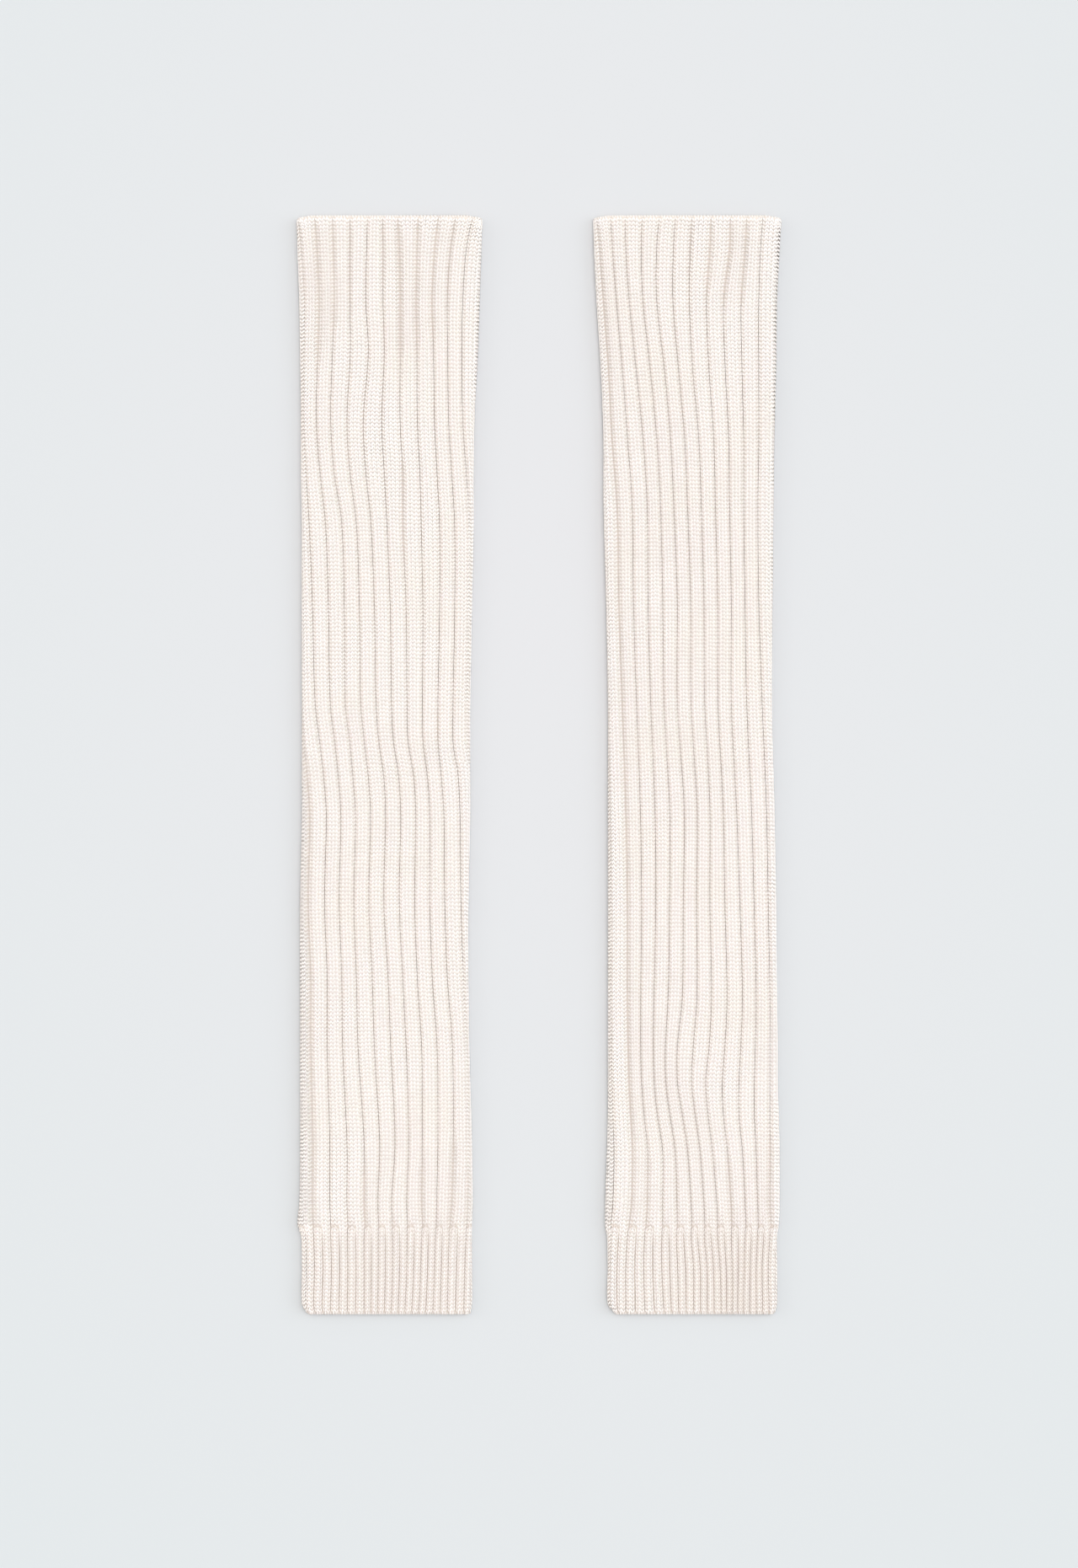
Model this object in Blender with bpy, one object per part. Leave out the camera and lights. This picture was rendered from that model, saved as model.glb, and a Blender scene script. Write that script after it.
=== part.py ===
"""A pair of rib-knit leg warmers, each an open tube of cloth laid flat, side by side.

Metres, +Z up. +Y runs towards the wide openings, +X towards the right leg warmer. The origin is the
middle of the pair, on the surface that it lies on. Each leg warmer has three knitted pieces: a plain
top welt, a long leg in wide rib and an ankle cuff in narrow rib. Every piece is a wall of cloth all
round an open slit: a flat back panel below, a front panel with raised ribs above, and a rounded fold
at either side.
"""

import math
from collections import namedtuple

import bmesh
import bpy
from mathutils import Vector

MM = 0.001

# Driving dimensions of one leg warmer, in millimetres
LENGTH = 640.0
WELT_DEPTH = 8.0
CUFF_DEPTH = 52.0
SEAM_GAP = 0.3
CENTRE_LINE = 88.5  # from the middle of the pair to the middle of each leg warmer
WALL = 2.4  # cloth at the bottom of a valley
SLIT = 0.4  # between the front and the back panel
MOUTH_SLIT = 1.0  # the same, at an open end
RIB_RISE = 1.4
CUFF_RIB_RISE = 0.9
LIP = 1.2  # how far in from an open end the cloth starts to round off
LIP_DROP = 0.7
CORNER_DIP = 2.2  # how much lower the wide opening's edge lies at either side
CORNER_WIDTH = 5.0
RELIEF_STARTS = 0.35  # the share of the height below which a fold is smooth, with its ribs pressed flat
WELT_RIB_SHARE = 0.25  # how much of the ribs' rise is left at the wide opening's edge

# The rib pattern. Valleys are numbered across the front from 0, near its left side. They wind slowly
# round the tube, so a few more of them, left of 0 and right of 10, also come to the front somewhere.
RIBS_AROUND = 22
FIRST_SHOWN, LAST_SHOWN = -4, 10
RibPoint = namedtuple("RibPoint", "across height")
WIDE_RIB = (RibPoint(0.0, 0.0), RibPoint(0.2, 0.85), RibPoint(0.5, 1.0), RibPoint(0.8, 0.85))
NARROW_RIBS = (RibPoint(0.0, 0.0), RibPoint(0.25, 1.0), RibPoint(0.5, 0.0), RibPoint(0.75, 1.0))
HIDDEN_RIB = (RibPoint(0.0, 0.0),)

# Rings of points along each piece: their number on the leg, and on the cuff and the welt how far
# down from the piece's own upper end they lie, apart from those at its ends
LEG_RINGS = 28
CUFF_RINGS = (6.0, 17.0, 30.0, 42.0)
WELT_RINGS = (3.0,)
INNER_SPREAD = (0.06, 0.35, 0.65, 0.94)  # where the slit has its points, as shares of its width

# Measurements across the front, in millimetres from the leg warmer's centre line: its two sides and
# six of its valleys. down is the distance from the wide opening.
Section = namedtuple("Section", "down left v0 v2 v4 v6 v8 v10 right")
VALLEYS = (0, 2, 4, 6, 8, 10)

LEFT_SECTIONS = (
    Section(0, -53.0, -52.5, -32.0, -11.5, 6.0, 30.0, 50.0, 55.5),
    Section(20, -52.5, -50.5, -31.5, -12.0, 7.0, 27.5, 46.0, 55.0),
    Section(50, -51.5, -48.5, -31.0, -12.5, 7.5, 26.0, 44.0, 54.0),
    Section(80, -51.0, -49.0, -32.0, -11.0, 7.5, 27.0, 43.5, 53.0),
    Section(120, -50.5, -49.5, -33.0, -14.0, 7.5, 27.5, 44.0, 51.0),
    Section(150, -50.5, -47.5, -31.0, -12.5, 9.0, 29.0, 46.0, 50.5),
    Section(180, -50.0, -45.5, -26.5, -9.5, 9.0, 30.5, 48.0, 50.5),
    Section(230, -50.0, -43.5, -25.0, -7.5, 11.0, 30.5, 48.0, 49.5),
    Section(285, -50.0, -42.0, -24.5, -6.5, 11.5, 29.5, 47.0, 48.5),
    Section(306, -50.0, -39.5, -22.0, -5.0, 12.0, 29.5, 47.0, 48.5),
    Section(328, -50.0, -37.0, -20.0, -2.0, 15.5, 31.5, 49.5, 48.5),
    Section(350, -50.0, -35.5, -18.5, -1.0, 16.5, 33.0, 50.0, 48.5),
    Section(400, -51.0, -36.5, -19.5, -2.0, 16.0, 33.5, 50.5, 47.5),
    Section(445, -51.0, -35.0, -18.0, 0.5, 17.5, 35.0, 52.0, 47.5),
    Section(485, -51.0, -35.0, -17.0, 2.0, 20.0, 38.0, 53.0, 48.0),
    Section(540, -51.0, -33.5, -13.5, 4.5, 20.5, 38.5, 54.5, 49.5),
    Section(575, -51.5, -33.5, -13.5, 2.5, 20.0, 37.5, 55.0, 50.0),
    Section(588, -52.5, -33.0, -13.0, 3.0, 20.5, 36.5, 54.5, 49.5),
    Section(595, -50.5, -33.0, -13.5, 3.0, 20.0, 36.0, 54.0, 49.5),
    Section(613, -50.0, -32.5, -13.5, 3.0, 19.5, 35.5, 53.0, 49.5),
    Section(632, -50.0, -33.0, -13.5, 2.5, 18.5, 35.0, 52.5, 49.5),
    Section(640, -46.0, -33.0, -13.5, 2.0, 18.0, 35.0, 52.0, 48.5),
)
RIGHT_SECTIONS = (
    Section(0, -57.0, -55.5, -38.5, -18.5, 0.5, 23.0, 42.0, 53.0),
    Section(20, -56.5, -53.5, -38.0, -20.0, -0.5, 22.5, 40.5, 52.0),
    Section(50, -55.0, -51.0, -36.0, -20.0, -1.0, 19.0, 39.5, 50.5),
    Section(90, -52.5, -48.0, -32.0, -15.5, 1.0, 20.0, 39.5, 50.0),
    Section(130, -51.0, -46.0, -28.0, -12.0, 4.5, 22.0, 39.5, 49.0),
    Section(170, -51.0, -43.0, -25.5, -10.0, 6.0, 22.5, 39.0, 48.5),
    Section(225, -49.5, -42.0, -25.0, -8.0, 7.5, 23.5, 39.5, 48.0),
    Section(285, -48.5, -40.0, -23.5, -8.0, 8.0, 23.5, 41.5, 47.5),
    Section(345, -48.5, -38.0, -21.0, -4.0, 11.0, 26.5, 44.0, 49.0),
    Section(400, -48.5, -37.0, -20.5, -4.5, 11.0, 28.5, 45.0, 50.0),
    Section(455, -48.5, -37.0, -21.5, -5.0, 12.0, 30.0, 46.0, 50.5),
    Section(485, -48.5, -36.5, -22.0, -8.0, 10.5, 29.0, 46.0, 51.0),
    Section(505, -48.5, -36.0, -21.5, -8.0, 8.5, 28.0, 46.0, 51.0),
    Section(525, -48.5, -35.0, -19.5, -5.0, 10.0, 28.0, 46.0, 51.5),
    Section(545, -49.0, -34.0, -16.5, -2.0, 12.5, 30.0, 46.0, 52.0),
    Section(575, -50.0, -34.5, -16.5, 0.0, 15.0, 31.5, 46.0, 52.0),
    Section(588, -50.0, -36.0, -16.5, 0.5, 15.5, 32.0, 46.5, 51.5),
    Section(595, -49.0, -37.0, -17.0, 0.0, 15.5, 31.5, 46.0, 50.5),
    Section(613, -48.5, -38.0, -17.0, 1.5, 17.0, 31.0, 45.0, 50.5),
    Section(632, -48.5, -38.0, -16.0, 1.5, 17.5, 30.5, 45.5, 50.5),
    Section(640, -42.5, -38.0, -15.5, 1.5, 17.5, 30.5, 45.5, 49.0),
)

# Soft swells, where the front panel stands off the back one
Swell = namedtuple("Swell", "down across half_length half_width rise")
LEFT_SWELLS = (
    Swell(60, -22, 70, 26, 0.8),
    Swell(312, 27, 18, 16, 1.1),
    Swell(465, -30, 40, 20, 0.9),
)
RIGHT_SWELLS = (
    Swell(45, 26, 60, 24, 0.8),
    Swell(250, -20, 80, 22, 0.6),
    Swell(508, -2, 34, 30, 1.2),
)

LegWarmer = namedtuple("LegWarmer", "side centre sections swells")
PAIR = (
    LegWarmer("left", -CENTRE_LINE, LEFT_SECTIONS, LEFT_SWELLS),
    LegWarmer("right", CENTRE_LINE, RIGHT_SECTIONS, RIGHT_SWELLS),
)

# The finish of each piece: an undyed wool white, a touch lighter where the rows are plain
Finish = namedtuple("Finish", "colour roughness")
FINISHES = {
    "top_welt": Finish((0.93, 0.89, 0.85, 1.0), 0.95),
    "leg": Finish((0.91, 0.87, 0.82, 1.0), 0.95),
    "cuff": Finish((0.90, 0.85, 0.79, 1.0), 0.95),
}


def clear_scene():
    for thing in list(bpy.data.objects):
        bpy.data.objects.remove(thing, do_unlink=True)


def smooth_step(value):
    value = min(max(value, 0.0), 1.0)
    return value * value * (3.0 - 2.0 * value)


def slope(sections, index, column):
    """How fast a column changes at one row of the table, for the smooth line through its rows."""
    before = sections[max(index - 1, 0)]
    after = sections[min(index + 1, len(sections) - 1)]
    return (getattr(after, column) - getattr(before, column)) / (after.down - before.down)


def section_at(sections, down):
    """The table's columns at any distance from the wide opening, on smooth lines through its rows."""
    index = max(i for i, row in enumerate(sections[:-1]) if row.down <= max(down, 0.0))
    start, end = sections[index], sections[index + 1]
    span = end.down - start.down
    t = (down - start.down) / span
    columns = [down]
    for column in Section._fields[1:]:
        a, b = getattr(start, column), getattr(end, column)
        leave = slope(sections, index, column) * span
        arrive = slope(sections, index + 1, column) * span
        lift = a * (2 * t**3 - 3 * t**2 + 1) + b * (3 * t**2 - 2 * t**3)
        columns.append(lift + leave * (t**3 - 2 * t**2 + t) + arrive * (t**3 - t**2))
    return Section(*columns)


class Outline:
    """The closed outer line of the flattened tube at one section, at the height of the rib crowns.

    A place on it is the length of cloth from the left fold, over the front, round to the back.
    """

    def __init__(self, section, height):
        self.left, self.right = section.left, section.right
        self.radius = height / 2
        self.quarter = self.radius * math.pi / 2
        self.flat = self.right - self.left - 2 * self.radius
        self.round = 2 * self.flat + 4 * self.quarter
        self.front = self.round / 2

    def place_under(self, across):
        """The place on the front that is seen from above at this distance from the centre line."""
        from_left, from_right = across - self.left, self.right - across
        if from_left < self.radius:
            inside = max(from_left, 0.0) / self.radius
            return self.radius * math.acos(1.0 - inside) + min(from_left, 0.0)
        if from_right < self.radius:
            inside = max(from_right, 0.0) / self.radius
            return self.front - self.radius * math.acos(1.0 - inside) - min(from_right, 0.0)
        return self.quarter + from_left - self.radius

    def point(self, place):
        """Where a place is, and which way the cloth faces there."""
        place %= self.round
        upper = place < self.front
        along = place if upper else self.round - place
        if along < self.quarter:
            turn = along / self.radius
            centre, facing = self.left + self.radius, Vector((-math.cos(turn), math.sin(turn)))
        elif along > self.front - self.quarter:
            turn = (self.front - along) / self.radius
            centre, facing = self.right - self.radius, Vector((math.cos(turn), math.sin(turn)))
        else:
            centre, facing = self.left + self.radius + along - self.quarter, Vector((0.0, 1.0))
        if not upper:
            facing.y = -facing.y
        return Vector((centre, self.radius)) + facing * self.radius, facing


def valley_places(outline, section):
    """The places of the measured valleys, and of valley 0 again after one turn round the tube."""
    numbers = list(VALLEYS) + [RIBS_AROUND]
    places = [outline.place_under(getattr(section, f"v{number}")) for number in VALLEYS]
    return numbers, places + [places[0] + outline.round]


def place_of(rib, numbers, places, round_tube):
    """The place of a rib number, which may be a fraction or lie on the far side of valley 0."""
    turns = math.floor((rib - numbers[0]) / RIBS_AROUND)
    rib -= turns * RIBS_AROUND
    index = max(i for i in range(len(numbers) - 1) if numbers[i] <= rib)
    share = (rib - numbers[index]) / (numbers[index + 1] - numbers[index])
    return places[index] + share * (places[index + 1] - places[index]) + turns * round_tube


def rib_columns(rib_shape):
    """The rib number and height of each line of points along the tube, once round it."""
    for rib in range(FIRST_SHOWN, FIRST_SHOWN + RIBS_AROUND):
        for point in rib_shape if rib <= LAST_SHOWN else HIDDEN_RIB:
            yield rib + point.across, point.height


def swell_at(leg_warmer, down, across):
    total = 0.0
    for swell in leg_warmer.swells:
        along = (down - swell.down) / swell.half_length
        beside = (across - swell.across) / swell.half_width
        total += swell.rise * smooth_step(1.0 - math.hypot(along, beside))
    return total


def body_height(rib_rise):
    return 2 * WALL + SLIT + rib_rise


def edge_dip(section, across):
    """How much lower the wide opening's edge lies here: nothing in its middle, most at its sides."""
    from_side = min(across - section.left, section.right - across)
    return CORNER_DIP * (1.0 - smooth_step(from_side / CORNER_WIDTH))


def outer_ring(leg_warmer, down, rib_shape, rise, drop):
    """One ring of outer points, with how far round the tube each lies.

    rise is the ribs' height, and drop is how far a lip has rounded off.
    """
    section = section_at(leg_warmer.sections, down)
    outline = Outline(section, body_height(RIB_RISE))
    numbers, places = valley_places(outline, section)
    ring = []
    for rib, height in rib_columns(rib_shape):
        place = place_of(rib, numbers, places, outline.round)
        point, facing = outline.point(place)
        shown = smooth_step((point.y / body_height(RIB_RISE) - RELIEF_STARTS) / (1.0 - RELIEF_STARTS))
        inward = (RIB_RISE - rise * height + drop) * shown
        point -= facing * inward
        up = point.y + swell_at(leg_warmer, down, point.x) * shown
        dip = edge_dip(section, point.x) * (1.0 - smooth_step(down / WELT_DEPTH))
        turn = (place / outline.round) % 1.0
        ring.append((turn, Vector((point.x, LENGTH / 2 - down - dip, up)) * MM))
    return ring


def inner_ring(leg_warmer, down, slit):
    """One ring of points round the slit between the two panels, with how far round each lies."""
    section = section_at(leg_warmer.sections, down)
    outline = Outline(section, body_height(RIB_RISE))
    left, right = section.left + WALL, section.right - WALL
    dip = 1.0 - smooth_step(down / WELT_DEPTH)
    middle = WALL + SLIT / 2

    def placed(across, up, turn):
        y = LENGTH / 2 - down - dip * edge_dip(section, across)
        return turn, Vector((across, y, up)) * MM

    upper, lower = [], []
    for share in INNER_SPREAD:
        across = left + share * (right - left)
        turn = outline.place_under(across) / outline.round
        swell = swell_at(leg_warmer, down, across)
        upper.append(placed(across, WALL + slit + swell, turn))
        lower.append(placed(across, WALL, 1.0 - turn))
    return [placed(left, middle, 0.0), *upper, placed(right, middle, 0.5), *reversed(lower)]


def from_start(ring):
    """The ring's points in order of turn, starting from the left fold."""
    first = min(range(len(ring)), key=lambda i: ring[i][0])
    return ring[first:] + ring[:first]


def bridge_side(mesh, first, second, outward):
    """A band of faces between two rings with as many points each."""
    count = len(first)
    for i in range(count):
        j = (i + 1) % count
        corners = (first[i], first[j], second[j], second[i])
        mesh.faces.new(corners if outward else reversed(corners))


def bridge_end(mesh, outer, inner, flip):
    """The cut end of the wall: triangles that step round both rings by how far round each has come."""
    outer, inner = from_start(outer), from_start(inner)
    i = j = 0
    while i < len(outer) or j < len(inner):
        next_outer = outer[i + 1][0] if i + 1 < len(outer) else 1.0 + outer[0][0]
        next_inner = inner[j + 1][0] if j + 1 < len(inner) else 1.0 + inner[0][0]
        here_outer, here_inner = outer[i % len(outer)][1], inner[j % len(inner)][1]
        if j >= len(inner) or (i < len(outer) and next_outer <= next_inner):
            i += 1
            corners = (here_outer, outer[i % len(outer)][1], here_inner)
        else:
            j += 1
            corners = (here_outer, inner[j % len(inner)][1], here_inner)
        mesh.faces.new(reversed(corners) if flip else corners)


def knitted_tube(name, leg_warmer, rings, rib_shape):
    """One piece of a leg warmer. rings holds, for each section, its place, rib rise, lip and slit."""
    mesh = bmesh.new()
    outer_rings, inner_rings = [], []
    for ring in rings:
        outer = outer_ring(leg_warmer, ring.down, rib_shape, ring.rise, ring.drop)
        inner = inner_ring(leg_warmer, ring.down, ring.slit)
        outer_rings.append([(turn, mesh.verts.new(point)) for turn, point in outer])
        inner_rings.append([(turn, mesh.verts.new(point)) for turn, point in inner])
    for rings_of_side, outward in ((outer_rings, True), (inner_rings, False)):
        for first, second in zip(rings_of_side, rings_of_side[1:]):
            bridge_side(mesh, [v for _, v in first], [v for _, v in second], outward)
    bridge_end(mesh, outer_rings[0], inner_rings[0], flip=True)
    bridge_end(mesh, outer_rings[-1], inner_rings[-1], flip=False)
    bmesh.ops.recalc_face_normals(mesh, faces=mesh.faces)
    data = bpy.data.meshes.new(name)
    mesh.to_mesh(data)
    mesh.free()
    piece = bpy.data.objects.new(name, data)
    bpy.context.collection.objects.link(piece)
    return piece


Ring = namedtuple("Ring", "down rise drop slit")


def welt_rings():
    """The plain starting rows: the ribs are nearly gone at the wide opening's edge."""
    end = WELT_DEPTH - SEAM_GAP / 2
    for down in (0.0, LIP, *WELT_RINGS, end):
        grown = smooth_step(down / WELT_DEPTH)
        drop = LIP_DROP if down == 0.0 else 0.0
        slit = MOUTH_SLIT + (SLIT - MOUTH_SLIT) * down / end
        share = WELT_RIB_SHARE + (1.0 - WELT_RIB_SHARE) * grown
        yield Ring(down, RIB_RISE * share, drop, slit)


def leg_rings():
    start = WELT_DEPTH + SEAM_GAP / 2
    end = LENGTH - CUFF_DEPTH - SEAM_GAP / 2
    for i in range(LEG_RINGS):
        yield Ring(start + (end - start) * i / (LEG_RINGS - 1), RIB_RISE, 0.0, SLIT)


def cuff_rings():
    """The narrow rib, down to the cast-off edge, which rounds off at the open end."""
    start = LENGTH - CUFF_DEPTH
    for depth in (SEAM_GAP / 2, *CUFF_RINGS):
        yield Ring(start + depth, CUFF_RIB_RISE, 0.0, SLIT)
    yield Ring(LENGTH - LIP, CUFF_RIB_RISE, 0.0, MOUTH_SLIT)
    yield Ring(LENGTH, CUFF_RIB_RISE / 2, LIP_DROP, MOUTH_SLIT)


Piece = namedtuple("Piece", "name rings rib_shape")
PIECES = (
    Piece("top_welt", welt_rings, WIDE_RIB),
    Piece("leg", leg_rings, WIDE_RIB),
    Piece("cuff", cuff_rings, NARROW_RIBS),
)


def knit_material(name, finish):
    material = bpy.data.materials.new(name)
    material.use_nodes = True
    shader = material.node_tree.nodes["Principled BSDF"]
    shader.inputs["Base Color"].default_value = finish.colour
    shader.inputs["Roughness"].default_value = finish.roughness
    shader.inputs["Metallic"].default_value = 0.0
    material.diffuse_color = finish.colour
    return material


def make_leg_warmer(leg_warmer):
    holder = bpy.data.objects.new(f"{leg_warmer.side}_leg_warmer", None)
    holder.location.x = leg_warmer.centre * MM
    bpy.context.collection.objects.link(holder)
    for piece in PIECES:
        name = f"{leg_warmer.side}_{piece.name}"
        tube = knitted_tube(name, leg_warmer, list(piece.rings()), piece.rib_shape)
        tube.parent = holder
        tube.data.materials.append(knit_material(name, FINISHES[piece.name]))


clear_scene()
for one in PAIR:
    make_leg_warmer(one)
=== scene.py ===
# %% [markdown]
# # A pair of rib-knit leg warmers, laid flat
#
# Each leg warmer is one knitted tube: a few plain starting rows at the wide opening, a long leg in wide rib
# and an ankle cuff in narrow rib. What you see on the real thing is yarn. So this file works the way a
# knitter does. It first says where the cloth lies, then puts a small loop of yarn at every stitch.
#
# The solids of the pair come in first. Their places and names never change here: every piece that is made
# below lies in the space of one of them and takes its part in the picture.

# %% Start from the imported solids
import math
from collections import namedtuple

import bpy
import numpy as np
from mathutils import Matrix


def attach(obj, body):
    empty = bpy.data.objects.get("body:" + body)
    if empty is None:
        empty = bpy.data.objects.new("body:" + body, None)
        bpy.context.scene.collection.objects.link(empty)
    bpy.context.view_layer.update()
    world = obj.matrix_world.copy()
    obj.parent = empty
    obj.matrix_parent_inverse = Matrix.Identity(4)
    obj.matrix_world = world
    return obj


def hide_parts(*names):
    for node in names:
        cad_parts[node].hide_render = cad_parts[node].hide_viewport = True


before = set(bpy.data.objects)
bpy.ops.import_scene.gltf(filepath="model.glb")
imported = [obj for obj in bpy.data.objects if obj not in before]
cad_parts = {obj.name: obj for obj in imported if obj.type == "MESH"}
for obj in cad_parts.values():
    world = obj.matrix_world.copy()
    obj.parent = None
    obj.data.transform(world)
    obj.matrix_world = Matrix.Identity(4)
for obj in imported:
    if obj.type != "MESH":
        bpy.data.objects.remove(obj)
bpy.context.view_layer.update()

MM = 0.001
print("solids:", ", ".join(sorted(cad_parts)))

# %% [markdown]
# The photograph looks straight down on a pale surface from well above it, so the two tubes show no
# perspective to speak of. A long lens far away gives that. The view is as tall as the picture shows, and
# its middle lies a little below the middle of the pair.

# %% Camera
PICTURE_HEIGHT = 0.9156
PICTURE_MIDDLE = -0.0112
CAMERA_HEIGHT = 2.5
SENSOR = 36.0
FARTHEST_SEEN = 50.0

camera_data = bpy.data.cameras.new("camera")
camera_data.sensor_fit = "VERTICAL"
camera_data.sensor_height = SENSOR
camera_data.lens = SENSOR * CAMERA_HEIGHT / PICTURE_HEIGHT
camera_data.clip_end = FARTHEST_SEEN
camera = bpy.data.objects.new("camera", camera_data)
camera.location = (0.0, PICTURE_MIDDLE, CAMERA_HEIGHT)
bpy.context.collection.objects.link(camera)
bpy.context.scene.camera = camera
print(f"lens {camera_data.lens:.1f} mm")

# %% [markdown]
# A rib knit has its own measures. Wales are the upright columns of stitches and courses are the rows.
# Here four raised knit wales make a rib, and two sunk purl wales make the valley beside it. Twenty-two of
# these go round the tube. In the ankle cuff each wide rib splits into two narrow ones.

# %% The knit's own measures, in millimetres
LENGTH = 640.0
WELT_DEPTH = 8.0
CUFF_DEPTH = 52.0
CUFF_STARTS = LENGTH - CUFF_DEPTH
COURSE = 2.26
RIBS_AROUND = 22
KNIT_WALES = 4
PURL_WALES = 2
WALES_A_RIB = KNIT_WALES + PURL_WALES
WALES_AROUND = RIBS_AROUND * WALES_A_RIB
FRONT_RIBS = (-1, 10)
HALF_APART = 88.5
WALL = 2.4
SLIT = 0.4
MOUTH_SLIT = 1.0
RIB_RISE = 1.4
CUFF_RIB_RISE = 1.1
WELT_RIB_SHARE = 0.25
CORNER_DIP = 1.6
CORNER_WIDTH = 9.0
RELIEF_STARTS = 0.35
HEIGHT = 2 * WALL + SLIT + RIB_RISE
RADIUS = HEIGHT / 2
QUARTER = RADIUS * math.pi / 2

leg_courses = round((CUFF_STARTS - WELT_DEPTH) / COURSE)
cuff_courses = round(CUFF_DEPTH / COURSE)
welt_courses = int(WELT_DEPTH / COURSE)
print("wales round the tube:", WALES_AROUND)
print("courses:", welt_courses, "in the welt,", leg_courses, "in the leg,", cuff_courses, "in the cuff")

# %% [markdown]
# Cloth that lies flat is never quite straight. Its two sides wander by a few millimetres and its ribs sway
# between them. A row of this table is one section across the front: the distance down from the wide
# opening, the left side, every second valley, and the right side, all from the leg warmer's centre line.
# Smooth lines through the rows give every place between them.

# %% Sections across the front, in millimetres
Section = namedtuple("Section", "down left v0 v2 v4 v6 v8 v10 right")
LEFT_SECTIONS = (
    Section(0, -53.0, -52.5, -32.0, -11.5, 6.0, 30.0, 50.0, 55.5),
    Section(20, -52.5, -50.5, -31.5, -12.0, 7.0, 27.5, 46.0, 55.0),
    Section(50, -51.5, -48.5, -31.0, -12.5, 7.5, 26.0, 44.0, 54.0),
    Section(80, -51.0, -49.0, -32.0, -11.0, 7.5, 27.0, 43.5, 53.0),
    Section(120, -50.5, -49.5, -33.0, -14.0, 7.5, 27.5, 44.0, 51.0),
    Section(150, -50.5, -47.5, -31.0, -12.5, 9.0, 29.0, 46.0, 50.5),
    Section(180, -50.0, -45.5, -26.5, -9.5, 9.0, 30.5, 48.0, 50.5),
    Section(230, -50.0, -43.5, -25.0, -7.5, 11.0, 30.5, 48.0, 49.5),
    Section(285, -50.0, -42.0, -24.5, -6.5, 11.5, 29.5, 47.0, 48.5),
    Section(306, -50.0, -39.5, -22.0, -5.0, 12.0, 29.5, 47.0, 48.5),
    Section(328, -50.0, -37.0, -20.0, -2.0, 15.5, 31.5, 49.5, 48.5),
    Section(350, -50.0, -35.5, -18.5, -1.0, 16.5, 33.0, 50.0, 48.5),
    Section(400, -51.0, -36.5, -19.5, -2.0, 16.0, 33.5, 50.5, 47.5),
    Section(445, -51.0, -35.0, -18.0, 0.5, 17.5, 35.0, 52.0, 47.5),
    Section(485, -51.0, -35.0, -17.0, 2.0, 20.0, 38.0, 53.0, 48.0),
    Section(540, -51.0, -33.5, -13.5, 4.5, 20.5, 38.5, 54.5, 49.5),
    Section(575, -51.5, -33.5, -13.5, 2.5, 20.0, 37.5, 55.0, 50.0),
    Section(588, -52.5, -33.0, -13.0, 3.0, 20.5, 36.5, 54.5, 49.5),
    Section(595, -50.5, -33.0, -13.5, 3.0, 20.0, 36.0, 54.0, 49.5),
    Section(613, -50.0, -32.5, -13.5, 3.0, 19.5, 35.5, 53.0, 49.5),
    Section(634, -50.0, -33.0, -13.5, 2.5, 18.5, 35.0, 52.5, 49.5),
    Section(640, -46.8, -33.0, -13.5, 2.0, 18.0, 35.0, 52.0, 48.5),
)
RIGHT_SECTIONS = (
    Section(0, -57.0, -55.5, -38.5, -18.5, 0.5, 23.0, 42.0, 53.0),
    Section(20, -56.5, -53.5, -38.0, -20.0, -0.5, 22.5, 40.5, 52.0),
    Section(50, -55.0, -51.0, -36.0, -20.0, -1.0, 19.0, 39.5, 50.5),
    Section(90, -52.5, -48.0, -32.0, -15.5, 1.0, 20.0, 39.5, 50.0),
    Section(130, -51.0, -46.0, -28.0, -12.0, 4.5, 22.0, 39.5, 49.0),
    Section(170, -51.0, -43.0, -25.5, -10.0, 6.0, 22.5, 39.0, 48.5),
    Section(225, -49.5, -42.0, -25.0, -8.0, 7.5, 23.5, 39.5, 48.0),
    Section(285, -48.5, -40.0, -23.5, -8.0, 8.0, 23.5, 41.5, 47.5),
    Section(345, -48.5, -38.0, -21.0, -4.0, 11.0, 26.5, 44.0, 49.0),
    Section(400, -48.5, -37.0, -20.5, -4.5, 11.0, 28.5, 45.0, 50.0),
    Section(455, -48.5, -37.0, -21.5, -5.0, 12.0, 30.0, 46.0, 50.5),
    Section(485, -48.5, -36.5, -22.0, -8.0, 10.5, 29.0, 46.0, 51.0),
    Section(505, -48.5, -36.0, -21.5, -8.0, 8.5, 28.0, 46.0, 51.0),
    Section(525, -48.5, -35.0, -19.5, -5.0, 10.0, 28.0, 46.0, 51.5),
    Section(545, -49.0, -34.0, -16.5, -2.0, 12.5, 30.0, 46.0, 52.0),
    Section(575, -50.0, -34.5, -16.5, 0.0, 15.0, 31.5, 46.0, 52.0),
    Section(588, -50.0, -36.0, -16.5, 0.5, 15.5, 32.0, 46.5, 51.5),
    Section(595, -49.0, -37.0, -17.0, 0.0, 15.5, 31.5, 46.0, 50.5),
    Section(613, -48.5, -38.0, -17.0, 1.5, 17.0, 31.0, 45.0, 50.5),
    Section(634, -48.5, -38.0, -16.0, 1.5, 17.5, 30.5, 45.5, 50.5),
    Section(640, -44.5, -38.0, -15.5, 1.5, 17.5, 30.5, 45.5, 49.0),
)
print(len(LEFT_SECTIONS), "sections on the left and", len(RIGHT_SECTIONS), "on the right")

# %% [markdown]
# Two more things vary along the real cloth. Where a tube was pulled wide, a valley stands open and its
# sunk purl stitches show. Where the front panel has a little too much cloth, it stands up in a low swell.

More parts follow.
